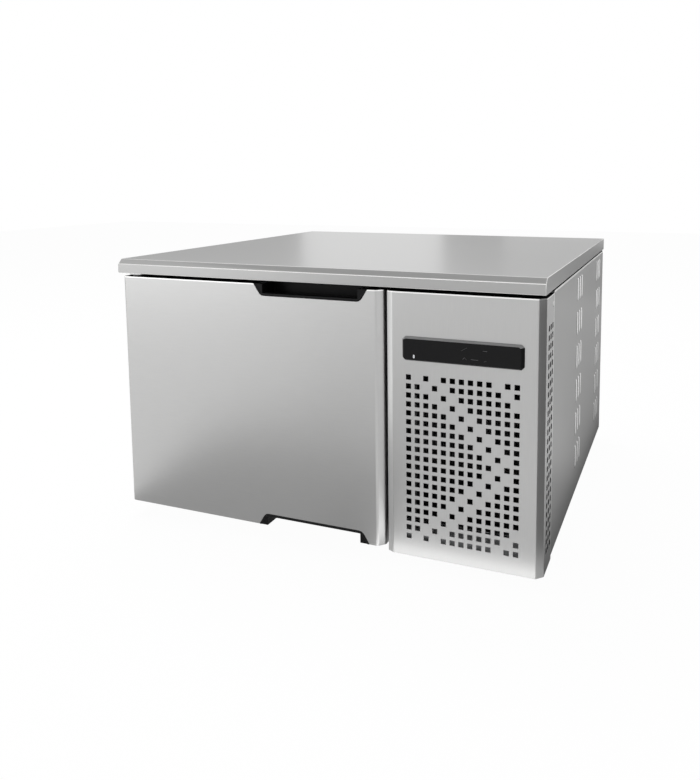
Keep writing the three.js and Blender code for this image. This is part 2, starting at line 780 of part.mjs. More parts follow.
// The side return carries the same pattern's rows on up, all punched
function sideHoles() {
  const holes = [];
  const half = holeSize / 2;
  for (let column = 0; column < sideColumns; column += 1) {
    for (let row = -sideExtraRows; row < holeRows; row += 1) {
      const y = faceY + sideColumnBack + column * holePitch;
      const z = rowZ(row);
      holes.push(box(panelRight - sheet - 1, y - half, z - half, panelRight + 1, y + half, z + half));
    }
  }
  return holes;
}

function grillePanel() {
  const shell = foldedFront([panelLeft, panelRight], edgeBevel, faceY, bodyFront, panelBottom, faceTop);
  const neckHole = alongY(neckOutline(fitGap), faceY - 1, faceY + sheet + 1, 3);
  const screwHole = rod('x', [0, faceY + sideScrewBack, faceTop - sideScrewDrop],
    screwRadius + fitGap, panelRight - sheet - 1, panelRight + 1);
  return cut(shell, ...frontHoles(), ...sideHoles(), neckHole, screwHole);
}

function sideScrew() {
  const [tip, headFace] = [bodyRight - screwLength, bodyRight + fitGap];
  return turned('x', [0, faceY + sideScrewBack, faceTop - sideScrewDrop], [
    [0, tip], [screwRadius, tip + 1], [screwRadius, headFace], [screwHeadRadius, headFace],
    [screwHeadRadius, headFace + 0.4], [3, headFace + screwHeadHeight - 0.1], [0, headFace + screwHeadHeight],
  ], 12);
}

// ---------------------------------------------------------------- controller

function neckOutline(outset) {
  return roundedRectangle(controlX - neckWidth / 2 - outset, controlZ - neckHeight / 2 - outset,
    controlX + neckWidth / 2 + outset, controlZ + neckHeight / 2 + outset, 3);
}

function windowOutline(outset) {
  const halfWidth = controlWidth / 2 - controlBevel - windowMargin + outset;
  const halfHeight = controlHeight / 2 - controlBevel - windowMargin + outset;
  return roundedRectangle(controlX - halfWidth, controlZ - halfHeight,
    controlX + halfWidth, controlZ + halfHeight, 2.5);
}

// Black front with bevelled edges and a shallow seat for its window, on a neck through the panel
function controllerBezel() {
  const behind = faceY - fitGap;
  const [halfWidth, halfHeight] = [controlWidth / 2 - controlBevel, controlHeight / 2 - controlBevel];
  const corner = controlCorner - controlBevel;
  const outline = roundedRectangle(-halfWidth, -halfHeight, halfWidth, halfHeight, corner);
  const depth = 2 * controlProud;
  const block = new THREE.ExtrudeGeometry(outline, {
    depth, bevelEnabled: true, bevelSize: controlBevel, bevelThickness: controlBevel,
    bevelSegments: 1, curveSegments: 3,
  }).rotateX(Math.PI / 2).translate(controlX, behind - controlProud + depth + controlBevel, controlZ);
  const rearHalf = box(left, behind, 0, right, 0, overallHeight);
  const facePlate = cut(block, rearHalf);
  const neck = alongY(neckOutline(0), behind - 0.5, faceY + neckDepth, 3);
  const seatDepth = windowThickness + fitGap;
  const seat = alongY(windowOutline(fitGap), front, behind - controlProud + seatDepth, 2);
  return cut(join(facePlate, neck), seat);
}

function controllerWindow() {
  const face = faceY - fitGap - controlProud;
  return alongY(windowOutline(0), face, face + windowThickness, 2);
}

// Circuit housing behind the neck, with clips above and below
function controllerModule() {
  const y0 = faceY + neckDepth + fitGap;
  const half = neckWidth / 2 - 2;
  const body = box(controlX - half, y0, controlZ - 12, controlX + half, y0 + 30, controlZ + 12);
  const clips = [-1, 1].map((side) => box(controlX + side * 50 - 8, y0 + 4, controlZ - 16,
    controlX + side * 50 + 8, y0 + 18, controlZ + 16));
  return join(body, ...clips);
}

// ---------------------------------------------------------------- chamber fittings

// One side of the rack: two hat posts on the chamber wall and an angle runner for each level
function trayRack(side) {
  const wallX = side < 0 ? chamberLeft + fitGap : chamberRight - fitGap;
  const at = (depth) => wallX - side * depth;
  const y0 = bodyFront + 12;
  const y1 = y0 + rackDepth;
  const posts = [y0 + 30, y1 - 30].map((y) => {
    const t = runnerSheet;
    const [a, b] = [y - postWidth / 2, y + postWidth / 2];
    const hat = polygon([[at(0), a], [at(postDepth), a], [at(postDepth), b], [at(0), b],
      [at(0), b - t], [at(postDepth - t), b - t], [at(postDepth - t), a + t], [at(0), a + t]]);
    return alongZ(hat, chamberFloor + linerCorner, chamberCeiling - linerCorner);
  });
  const runners = [];
  for (let level = 0; level < trayLevels; level += 1) {
    const z = lowestTray + level * trayPitch;
    const t = runnerSheet;
    const [web, tip] = [at(postDepth - 0.3), at(runnerReach)];
    const webIn = at(postDepth - 0.3 + t);
    const angle = polygon([[web, z - t], [tip, z - t], [tip, z], [webIn, z], [webIn, z + runnerHeight],
      [web, z + runnerHeight]]);
    runners.push(alongY(angle, y0, y1));
  }
  return join(...posts, ...runners);
}

// Folded sheet in front of the coil, with the fan's round opening and return slots at both sides
function fanBaffle() {
  const [x0, x1] = [chamberLeft + fitGap, chamberRight - fitGap];
  const inset = linerCorner;
  const plan = (grow) => roundedRectangle(x0 + grow, chamberFloor + fitGap + grow,
    x1 - grow, chamberCeiling - fitGap - grow, inset);
  const shell = cut(alongY(plan(0), baffleY, baffleY + baffleDepth, 3),
    alongY(plan(sheet), baffleY + sheet, baffleY + baffleDepth + 1, 3));
  const slots = [];
  const [slotHalf, slotReach, slotRows, slotPitch, slotSpread] = [9, 26, 4, 66, 148];
  for (let row = 0; row < slotRows; row += 1) {
    const z = chamberMiddleZ + (row - (slotRows - 1) / 2) * slotPitch;
    for (const side of [-1, 1]) {
      const x = chamberMiddleX + side * slotSpread;
      const slot = roundedRectangle(x - slotHalf, z - slotReach, x + slotHalf, z + slotReach, 5);
      slots.push(alongY(slot, baffleY - 1, baffleY + sheet + 1, 1));
    }
  }
  const opening = rod('y', [chamberMiddleX, 0, chamberMiddleZ], evaporatorFanRadius + fanRunning,
    baffleY - 1, baffleY + sheet + 1, 28);
  return cut(shell, opening, ...slots);
}

// Wire guard of rings and cross wires, flat against the baffle
function fanGuard() {
  const wire = 1.6;
  const y = baffleY - fitGap - wire;
  const outer = evaporatorFanRadius + fanRunning + 4;
  const rings = [0.34, 0.67, 1].map((share) => {
    const radius = share * outer;
    return turned('y', [chamberMiddleX, y, chamberMiddleZ], [
      [radius - wire, 0], [radius, -wire], [radius + wire, 0], [radius, wire], [radius - wire, 0],
    ], 16);
  });
  const wires = [0, 1].map((turn) => rod('x', [0, 0, 0], wire, -outer, outer, 4)
    .rotateY((turn + 0.45) * Math.PI / 2).translate(chamberMiddleX, y - wire * 0.6, chamberMiddleZ));
  return join(...rings, ...wires);
}

// One blade: a box whose length runs out along the radius, twisted and swept round the axis
function fanBlade(hubRadius, tipRadius, rootChord, tipChord, startAngle) {
  const blade = new THREE.BoxGeometry(1, 1, 1, 3, 2, 1);
  const places = blade.attributes.position;
  const thickness = 1.6;
  const [rootPitch, tipPitch] = [0.75, 0.42];
  for (let i = 0; i < places.count; i += 1) {
    const out = places.getX(i) + 0.5;
    const across = places.getY(i);
    const through = places.getZ(i);
    const radius = hubRadius - 2 + out * (tipRadius - hubRadius + 2);
    const chord = rootChord + out * (tipChord - rootChord);
    const pitch = rootPitch + out * (tipPitch - rootPitch);
    const camber = 3 * (0.25 - across * across);
    const round = across * chord * Math.cos(pitch) - through * thickness * Math.sin(pitch);
    const axial = across * chord * Math.sin(pitch) + through * thickness * Math.cos(pitch) + camber;
    const angle = startAngle + round / Math.max(radius, hubRadius * 1.2) + 0.25 * out * out;
    places.setXYZ(i, radius * Math.cos(angle), -axial, radius * Math.sin(angle));
  }
  return blade;
}

// Axial fan about an axis along Y: a hub with a bore, and blades
function axialFan(x, y, z, radius, hubRadius, blades) {
  const hub = turned('y', [0, 0, 0], [
    [pinRadius + pinRunning, -11], [hubRadius - 4, -11], [hubRadius, -8], [hubRadius, 11],
    [pinRadius + pinRunning, 11], [pinRadius + pinRunning, -11],
  ], 16);
  const wings = [];
  for (let i = 0; i < blades; i += 1) {
    wings.push(fanBlade(hubRadius, radius, 22, 44, (i / blades) * 2 * Math.PI));
  }
  return join(hub, ...wings).translate(x, y, z);
}

// Fan motor about an axis along Y: a can with domed ends and a shaft towards the front
function fanMotor(x, y, z, radius, length, shaftLength) {
  return turned('y', [x, y, z], [
    [0, -shaftLength], [pinRadius, -shaftLength], [pinRadius, -2], [radius * 0.35, 0],
    [radius * 0.8, 0], [radius, 6], [radius, length - 6], [radius * 0.8, length], [0, length],
  ], 16);
}

const evaporatorFanY = baffleY + 20;
const evaporatorMotorY = baffleY + 44;

// Three-armed spider that holds the fan motor behind the baffle
function evaporatorFanBracket() {
  const [y0, y1] = [evaporatorMotorY - 3 - fitGap, evaporatorMotorY - fitGap];
  const reach = evaporatorFanRadius + fanRunning + 10;
  const arms = [];
  for (let i = 0; i < 3; i += 1) {
    const arm = join(box(20, y0, -6, reach + 8, y1, 6),
      box(reach, baffleY + sheet + fitGap, -6, reach + 8, y1, 6));
    arms.push(arm.rotateY(i * 2 * Math.PI / 3 + Math.PI / 6).translate(chamberMiddleX, 0, chamberMiddleZ));
  }
  const disc = rod('y', [chamberMiddleX, 0, chamberMiddleZ], 30, y0, y1, 16);
  const hole = rod('y', [chamberMiddleX, 0, chamberMiddleZ], 14, y0 - 1, y1 + 1, 12);
  return cut(join(disc, ...arms), hole);
}

// Comb plan of a finned block: fins stand forward of a solid tube zone
function finnedPlan(x0, x1, y0, y1, pitch) {
  const fin = pitch * 0.35;
  const count = Math.floor((x1 - x0 - fin) / pitch);
  const start = (x0 + x1 - count * pitch - fin) / 2;
  const root = y0 + (y1 - y0) * 0.45;
  const points = [];
  for (let i = 0; i <= count; i += 1) {
    const x = start + i * pitch;
    points.push([x, root], [x, y0], [x + fin, y0], [x + fin, root]);
  }
  points.push([x1, root], [x1, y1], [x0, y1], [x0, root]);
  return polygon(points);
}

// Return bends on a coil's right end, as half rings that open towards the coil
function returnBends(x, y, lowZ, pitch, count, radius) {
  const bends = [];
  for (let i = 0; i < count; i += 1) {
    const z = lowZ + i * 2 * pitch;
    const ring = new THREE.CatmullRomCurve3([
      [x - 2, y, z], [x + 3, y, z], [x + 8, y, z + pitch * 0.5], [x + 3, y, z + pitch], [x - 2, y, z + pitch],
    ].map((p) => new THREE.Vector3(...p)));
    bends.push(new THREE.ExtrudeGeometry(circle(radius), { steps: 5, curveSegments: 3, extrudePath: ring }));
  }
  return bends;
}

function evaporatorCoil() {
  const fins = alongZ(finnedPlan(evaporatorLeft, evaporatorRight, evaporatorFront, evaporatorBack,
    evaporatorFinPitch), evaporatorBottom, evaporatorTop);
  const plates = [evaporatorLeft - 1.5, evaporatorRight - 0.5].map((x) =>
    box(x, evaporatorFront - 4, evaporatorBottom - 4, x + 2, evaporatorBack + 3, chamberCeiling - fitGap));
  const bends = returnBends(evaporatorRight + 1, evaporatorFront + 45, evaporatorBottom + 60, 30, 2, 4);
  const stubEnd = chamberRight - 12;
  const stubs = [[liquidZ, liquidRadius], [suctionZ, suctionRadius]].map(([z, radius]) =>
    rod('x', [0, linesY, z], radius, evaporatorRight - 2, stubEnd, 10));
  return join(fins, ...plates, ...bends, ...stubs);
}

// Small plastic reed switch on the body's front, beside the gasket
function doorSwitch() {
  const x = chamberRight + gasketMargin + 6;
  const shape = roundedRectangle(x, chamberCeiling - 8, x + 16, chamberCeiling + 22, 3);
  return alongY(shape, bodyFront - fitGap - 6, bodyFront - fitGap, 2);
}

// ---------------------------------------------------------------- condensing unit

// Sheet tray that the whole unit stands on
function unitTray() {
  const end = unitFront + unitLength;
  const floor = 1.5;
  const start = unitFront - 6;
  const rim = cellBottom + trayEdge;
  return cut(box(unitLeft, start, cellBottom, unitRight, end, rim),
    box(unitLeft + floor, start - 1, cellBottom + floor, unitRight - floor, end + 1, rim + 1));
}

function condenserCoil() {
  const [x0, x1] = [unitX - condenserWidth / 2, unitX + condenserWidth / 2];
  const fins = alongZ(finnedPlan(x0 + 2, x1 - 2, unitFront, condenserBack, condenserFinPitch),
    condenserBottom + 3, condenserTop - 3);
  const plates = [x0, x1 - 2].map((x) =>
    box(x, unitFront - 1, condenserBottom, x + 2, condenserBack, condenserTop));
  const bridges = [condenserBottom + 1, condenserTop - 4].map((z) =>
    box(x0, condenserBack - 20, z, x1, condenserBack, z + 3));
  const bends = returnBends(x1, unitFront + 14, condenserBottom + 60, 34, 2, 3.5);
  const headers = [portTopZ, portBottomZ].map((z) =>
    box(x1 - 1, condenserBack - 14, z - 5, portX + 5, condenserBack, z + 5));
  const stubs = [portTopZ, portBottomZ].map((z) =>
    rod('y', [portX, 0, z], dischargeRadius, condenserBack - 2, portEnd, 10));
  return join(fins, ...plates, ...bridges, ...bends, ...headers, ...stubs);
}

// Box-shaped fan shroud with a short ring round the blades
function condenserShroud() {
  const [x0, x1] = [unitX - condenserWidth / 2, unitX + condenserWidth / 2];
  const ringRadius = condenserFanRadius + fanRunning;
  const shell = cut(box(x0, shroudFront, condenserBottom, x1, shroudBack, condenserTop),
    box(x0 + sheet, shroudFront - 1, condenserBottom + sheet,
      x1 - sheet, shroudBack - sheet, condenserTop - sheet));
  const ring = rod('y', [unitX, 0, condenserFanZ], ringRadius + sheet, shroudBack - 1, shroudBack + 18, 28);
  const opening = rod('y', [unitX, 0, condenserFanZ], ringRadius, shroudFront + 2, shroudBack + 20, 28);
  return cut(join(shell, ring), opening);
}

const condenserFanY = shroudBack + 4;
const condenserMotorY = shroudBack + 36;

// Two bent straps and a round plate that carry the fan motor behind the shroud
function condenserFanBracket() {
  const [y0, y1] = [condenserMotorY - 3 - fitGap, condenserMotorY - fitGap];
  const [low, high] = [condenserBottom + 4, condenserTop - 4];
  const straps = [-22, 22].map((dx) => join(
    box(unitX + dx - 6, y0, low, unitX + dx + 6, y1, high),
    box(unitX + dx - 6, shroudBack + fitGap, low, unitX + dx + 6, y1, low + 3),
    box(unitX + dx - 6, shroudBack + fitGap, high - 3, unitX + dx + 6, y1, high)));
  const disc = rod('y', [unitX, 0, condenserFanZ], 34, y0, y1, 16);
  const hole = rod('y', [unitX, 0, condenserFanZ], 15, y0 - 1, y1 + 1, 12);
  return cut(join(disc, ...straps), hole);
}

const grommetSpread = [74, 58];
const grommetPlaces = [[-1, -1], [1, -1], [-1, 1], [1, 1]].map(([i, j]) =>
  [unitX + i * grommetSpread[0], compressorY + j * grommetSpread[1]]);

// Hermetic shell of two cups with a welded rim, on a foot plate, with ports and a terminal cover
function compressor() {
  const base = compressorBase;
  const shell = turned('z', [unitX, compressorY, 0], [
    [0, base + 2], [compressorRadius * 0.78, base + 2], [compressorRadius * 0.95, base + 12],
    [compressorRadius, base + 30], [compressorRadius, base + 92], [compressorRadius + 3, base + 92],
    [compressorRadius + 3, base + 99], [compressorRadius, base + 99], [compressorRadius, base + 130],
    [compressorRadius * 0.93, base + 152], [compressorRadius * 0.7, base + 169], [0, compressorTop],
  ], 20);
  const [dx, dy] = grommetSpread;
  const plate = alongZ(roundedRectangle(unitX - dx - 12, compressorY - dy - 12, unitX + dx + 12,
    compressorY + dy + 12, 10), base, base + 3.5, 2);
  const ports = [-1, 1].map((side) =>
    rod('z', [unitX + side * portSpread, compressorY, 0], side < 0 ? suctionRadius : dischargeRadius,
      base + 140, compressorTop + portRise, 10));
  const cover = box(unitX - compressorRadius - 14, compressorY - 22, base + 50, unitX - compressorRadius + 12,
    compressorY + 22, base + 90);
  const holes = grommetPlaces.map(([x, y]) => rod('z', [x, y, 0], 5 + 2 * fitGap, base - 1, base + 5, 8));
  return cut(join(shell, plate, ...ports, cover), ...holes);
}

// Rubber mount with a waist, its spigot up through the foot plate
function grommet([x, y]) {
  const base = unitFloor + fitGap;
  return turned('z', [x, y, 0], [
    [0, base], [10, base], [8, base + 6], [10, base + grommetHeight],
    [5, base + grommetHeight], [5, base + grommetHeight + 7], [0, base + grommetHeight + 7],
  ], 10);
}

// Spun copper filter drier between the condenser and the line to the chamber
function filterDrier() {
  return turned('y', [drierX, drierFront, portBottomZ], [
    [0, 0], [4, 0], [4, 6], [11, 16], [11, drierLength - 16], [4, drierLength - 6], [4, drierLength],
    [0, drierLength],
  ], 12);
}

function dischargeLine() {
  const portZ = compressorTop + portRise + fitGap;
  const x = unitX + portSpread;
  return pipe([
    [portX, portEnd + fitGap, portTopZ], [portX, portEnd + 40, portTopZ],
    [portX, compressorY - 130, portTopZ + 4], [portX - 14, compressorY - 60, portTopZ + 12],
    [x + 18, compressorY - 14, portTopZ + 10],
    [x, compressorY, portTopZ - 4], [x, compressorY, portZ],
  ], dischargeRadius, 18);
}

function condensateToDrierLine() {
  return pipe([
    [portX, portEnd + fitGap, portBottomZ], [portX, portEnd + 60, portBottomZ],
    [drierX, drierFront - 60, portBottomZ], [drierX, drierFront - fitGap, portBottomZ],
  ], condensateRadius, 6);
}

// From the drier round the back of the unit, then through the divider and the cell's wall
function liquidLine() {
  const start = drierFront + drierLength + fitGap;
  return pipe([
    [drierX, start, portBottomZ], [drierX, start + 16, portBottomZ],
    [drierX - 22, linesY - 12, portBottomZ + 8], [unitX, linesY, (portBottomZ + liquidZ) / 2],
    [dividerRight + 30, linesY, liquidZ],
    [cellRight, linesY, liquidZ], [chamberRight - 12 + fitGap, linesY, liquidZ],
  ], liquidRadius, 18);
}

function suctionLine() {
  const portZ = compressorTop + portRise + fitGap;
  const x = unitX - portSpread;
  return pipe([
    [chamberRight - 12 + fitGap, linesY, suctionZ], [cellRight, linesY, suctionZ],
    [dividerRight + 26, linesY, suctionZ], [x - 8, linesY - 30, suctionZ - 8],
    [x, compressorY + 60, suctionZ - 30], [x, compressorY + 8, portZ + 50], [x, compressorY, portZ + 30],
    [x, compressorY, portZ],
  ], suctionRadius, 18);
}

// Switchgear box on the divider, with a sloped lid edge and a cable boss
function electricalBox() {
  const [y0, y1] = [bodyFront + 60, bodyFront + 300];
  const [z0, z1] = [condenserTop + 12, bodyTop - 24];
  const x0 = dividerRight + fitGap;
  const [edgeX, lidX, slope] = [x0 + 48, x0 + 56, 8];
  const section = polygon([
    [x0, z0], [edgeX, z0], [lidX, z0 + slope], [lidX, z1 - slope], [edgeX, z1], [x0, z1],
  ]);
  const boss = rod('y', [x0 + 28, 0, z0 + 24], 9, y1 - 1, y1 + 10, 12);
  return join(alongY(section, y0, y1), boss);
}

// ---------------------------------------------------------------- finishes and assembly

const finishes = {
  brushedSteel: { color: 0xb9bab8, metalness: 1, roughness: 0.34 },
  plainSteel: { color: 0xa9abab, metalness: 1, roughness: 0.45 },
  galvanised: { color: 0x9aa0a3, metalness: 0.9, roughness: 0.55 },
  aluminium: { color: 0xc9ccce, metalness: 1, roughness: 0.4 },
  copper: { color: 0xb5714a, metalness: 1, roughness: 0.35 },
  foam: { color: 0xe2d6a8, metalness: 0, roughness: 0.95 },
  blackPlastic: { color: 0x131416, metalness: 0, roughness: 0.42 },
  blackGloss: { color: 0x0a0b0c, metalness: 0, roughness: 0.12 },
  greyRubber: { color: 0x8d9093, metalness: 0, roughness: 0.8 },
  blackRubber: { color: 0x1a1a1b, metalness: 0, roughness: 0.85 },
  blackPaint: { color: 0x17181a, metalness: 0.2, roughness: 0.5 },
  greyPlastic: { color: 0xc6c8ca, metalness: 0, roughness: 0.55 },
};

const blastChiller = new THREE.Group();

function add(name, geometry, finish) {
  const mesh = new THREE.Mesh(geometry, new THREE.MeshStandardMaterial(finishes[finish]));
  mesh.name = name;
  blastChiller.add(mesh);
}

add('worktop', worktop(), 'brushedSteel');
add('worktop_core', worktopCore(), 'greyPlastic');
add('left_side_panel', leftSidePanel(), 'brushedSteel');
add('right_side_panel', rightSidePanel(), 'brushedSteel');
add('rear_panel', rearPanel(), 'galvanised');
add('base_pan', basePan(), 'galvanised');
add('divider_panel', dividerPanel(), 'galvanised');
add('compartment_rail', compartmentRail(), 'galvanised');
add('cord_bush', cordBush(), 'blackPlastic');
for (const [name, place] of Object.entries(footPlaces)) add(name, foot(place), 'plainSteel');

add('cell_foam', cellFoam(), 'foam');
add('chamber_liner', chamberLiner(), 'plainSteel');
add('front_frame', frontFrame(), 'brushedSteel');
add('drain_fitting', drainFitting(), 'greyPlastic');
add('door_switch', doorSwitch(), 'greyPlastic');

add('door_skin', doorSkin(), 'brushedSteel');
add('door_foam', doorFoam(), 'foam');
add('door_liner', doorLiner(), 'plainSteel');
add('door_gasket', doorGasket(), 'greyRubber');
for (const [place, side] of [['upper', 1], ['lower', -1]]) {
  add(`${place}_handle`, handle(side), 'blackPlastic');
  add(`${place}_hinge_bracket`, hingeBracket(side), 'plainSteel');
  add(`${place}_hinge_pin`, hingePin(side), 'plainSteel');
  add(`${place}_hinge_bush`, hingeBush(side), 'greyPlastic');
}

add('grille_panel', grillePanel(), 'brushedSteel');
add('side_screw', sideScrew(), 'plainSteel');
add('controller_bezel', controllerBezel(), 'blackPlastic');
add('controller_window', controllerWindow(), 'blackGloss');
add('controller_module', controllerModule(), 'blackPlastic');

add('tray_rack_left', trayRack(-1), 'plainSteel');
add('tray_rack_right', trayRack(1), 'plainSteel');
add('fan_baffle', fanBaffle(), 'plainSteel');
add('fan_guard', fanGuard(), 'plainSteel');
add('evaporator_fan_blade',
  axialFan(chamberMiddleX, evaporatorFanY, chamberMiddleZ, evaporatorFanRadius, 20, 5), 'blackPlastic');
add('evaporator_fan_motor',
  fanMotor(chamberMiddleX, evaporatorMotorY, chamberMiddleZ, 32, 50, 34), 'blackPaint');
add('evaporator_fan_bracket', evaporatorFanBracket(), 'plainSteel');
add('evaporator_coil', evaporatorCoil(), 'aluminium');

add('unit_tray', unitTray(), 'galvanised');
add('condenser_coil', condenserCoil(), 'aluminium');
add('condenser_shroud', condenserShroud(), 'galvanised');
add('condenser_fan_blade',
  axialFan(unitX, condenserFanY, condenserFanZ, condenserFanRadius, 22, 5), 'aluminium');
add('condenser_fan_motor', fanMotor(unitX, condenserMotorY, condenserFanZ, 36, 54, 42), 'blackPaint');
add('condenser_fan_bracket', condenserFanBracket(), 'galvanised');
add('compressor', compressor(), 'blackPaint');
grommetPlaces.forEach((place, i) => add(`compressor_mount_${i + 1}`, grommet(place), 'blackRubber'));
add('filter_drier', filterDrier(), 'copper');
add('discharge_line', dischargeLine(), 'copper');
add('condensate_line', condensateToDrierLine(), 'copper');
add('liquid_line', liquidLine(), 'copper');
add('suction_line', suctionLine(), 'copper');
add('electrical_box', electricalBox(), 'greyPlastic');

export default blastChiller;
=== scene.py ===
import json
import math

import bmesh
import bpy
import numpy as np
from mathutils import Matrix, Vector

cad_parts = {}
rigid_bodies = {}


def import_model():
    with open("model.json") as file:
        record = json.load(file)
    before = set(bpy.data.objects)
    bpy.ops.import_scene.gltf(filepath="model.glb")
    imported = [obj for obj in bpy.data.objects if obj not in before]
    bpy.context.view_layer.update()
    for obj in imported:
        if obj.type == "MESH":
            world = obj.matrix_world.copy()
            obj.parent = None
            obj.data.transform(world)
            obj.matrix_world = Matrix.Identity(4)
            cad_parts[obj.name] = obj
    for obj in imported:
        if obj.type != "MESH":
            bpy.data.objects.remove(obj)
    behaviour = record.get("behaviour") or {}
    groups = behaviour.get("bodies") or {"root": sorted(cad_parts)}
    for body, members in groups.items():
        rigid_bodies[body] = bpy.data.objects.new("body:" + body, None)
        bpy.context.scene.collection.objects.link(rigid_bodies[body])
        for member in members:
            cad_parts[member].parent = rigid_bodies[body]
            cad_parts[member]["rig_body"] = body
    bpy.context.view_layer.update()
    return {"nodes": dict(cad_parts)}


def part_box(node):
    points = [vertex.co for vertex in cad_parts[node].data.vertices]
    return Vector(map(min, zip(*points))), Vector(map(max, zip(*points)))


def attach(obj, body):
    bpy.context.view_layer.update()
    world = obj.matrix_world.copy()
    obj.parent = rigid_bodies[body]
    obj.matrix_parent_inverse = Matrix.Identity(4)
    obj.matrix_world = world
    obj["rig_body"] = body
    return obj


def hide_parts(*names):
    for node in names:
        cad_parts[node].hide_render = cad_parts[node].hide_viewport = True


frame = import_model()
print("frame loaded:", len(frame["nodes"]), "nodes")

millimetre = 0.001   # all sizes below are in millimetres, but for the stage and the camera


def nodeSpan(node):
    # a CAD node's box as x0, x1, y0, y1, z0, z1
    low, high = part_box(node)
    return [value / millimetre for pair in zip(low, high) for value in pair]


# shader nodes, and the groups that several materials share

def feed(tree, node, given):
    # given pairs an input's name or number with a value, or with the socket that feeds it
    for place, value in given.items():
        if isinstance(value, bpy.types.NodeSocket):
            tree.links.new(value, node.inputs[place])
        else:
            node.inputs[place].default_value = value
    return node


def addNode(tree, kind, given={}):
    return feed(tree, tree.nodes.new("ShaderNode" + kind), given)


def mathNode(tree, operation, *values):
    node = addNode(tree, "Math")
    node.operation = operation
    return feed(tree, node, dict(enumerate(values))).outputs[0]


def noiseNode(tree, vector, scale, detail, roughness=0.5):
    given = {"Vector": vector, "Scale": scale, "Detail": detail, "Roughness": roughness}
    return addNode(tree, "TexNoise", given).outputs["Fac"]


def brushedGrain(group, given):
    # hair lines: noise squeezed hard across the grain and stretched along it, plus a slow drift
    lines = noiseNode(group, given["Vector"], given["Fineness"], 2.0, 0.6)
    drift = mathNode(group, "SUBTRACT", noiseNode(group, given["Vector"], 3.0, 2.0), 0.5)
    return mathNode(group, "MULTIPLY_ADD", drift, 0.6, mathNode(group, "SUBTRACT", lines, 0.5)), lines, 0.6


def skinMottle(group, given):
    # moulded or painted skin: fine pebbling and a slow change of sheen
    pebbles = noiseNode(group, given["Vector"], given["Fineness"], 1.0)
    return mathNode(group, "SUBTRACT", noiseNode(group, given["Vector"], 14.0, 3.0), 0.5), pebbles, 1.0


def zincSpangle(group, given):
    # zinc crystals: each Voronoi cell has its own tone and sheen
    cells = addNode(group, "TexVoronoi", {"Vector": given["Vector"], "Scale": given["Fineness"]})
    spread = addNode(group, "SeparateColor", {"Color": cells.outputs["Color"]})
    return mathNode(group, "SUBTRACT", spread.outputs[0], 0.5), spread.outputs[1], 1.0


def makeSurfaceGroup(pattern):
    # the pattern gives a change about zero, a height, and how far the roughness follows the change;
    # the tone swings about 1 and the roughness about its base
    group = bpy.data.node_groups.new(pattern.__name__, "ShaderNodeTree")
    group.interface.new_socket("Vector", in_out="INPUT", socket_type="NodeSocketVector")
    for label in ("Fineness", "Depth", "Base Roughness"):
        group.interface.new_socket(label, in_out="INPUT", socket_type="NodeSocketFloat")
    for label in ("Tone", "Roughness", "Height"):
        group.interface.new_socket(label, in_out="OUTPUT", socket_type="NodeSocketFloat")
    given = group.nodes.new("NodeGroupInput").outputs
    change, height, share = pattern(group, given)
    scaled = mathNode(group, "MULTIPLY", change, given["Depth"])
    feed(group, group.nodes.new("NodeGroupOutput"), {
        "Tone": mathNode(group, "ADD", scaled, 1.0), "Height": height,
        "Roughness": mathNode(group, "MULTIPLY_ADD", scaled, share, given["Base Roughness"])})
    return group


surfaceGroups = {pattern: makeSurfaceGroup(pattern) for pattern in (brushedGrain, skinMottle, zincSpangle)}
bumpDistance, coatRoughness = 0.0002, 0.05


def makeFinish(name, pattern, stretch, colour, fineness, depth, roughness, relief=0.05, specular=0.5, coat=0,
               metallic=0):
    # a Principled material whose tone, sheen and relief come from a shared group on Object coordinates
    material = bpy.data.materials.new(name)
    material.use_nodes = True
    tree = material.node_tree
    place = addNode(tree, "Mapping", {"Vector": addNode(tree, "TexCoord").outputs["Object"], "Scale": stretch})
    surface = addNode(tree, "Group")
    surface.node_tree = surfaceGroups[pattern]
    feed(tree, surface, {"Vector": place.outputs["Vector"], "Fineness": fineness, "Depth": depth,
                         "Base Roughness": roughness})
    tint = addNode(tree, "Mix")
    tint.data_type, tint.blend_type = "RGBA", "MULTIPLY"
    feed(tree, tint, {"Factor": 1.0, "A": (*colour, 1), "B": surface.outputs["Tone"]})
    bump = addNode(tree, "Bump", {"Strength": relief, "Distance": bumpDistance, "Height": surface.outputs["Height"]})
    feed(tree, tree.nodes["Principled BSDF"], {
        "Base Color": tint.outputs["Result"], "Roughness": surface.outputs["Roughness"],
        "Normal": bump.outputs["Normal"], "Metallic": metallic, "Specular IOR Level": specular,
        "Coat Weight": coat, "Coat Roughness": coatRoughness})
    return material


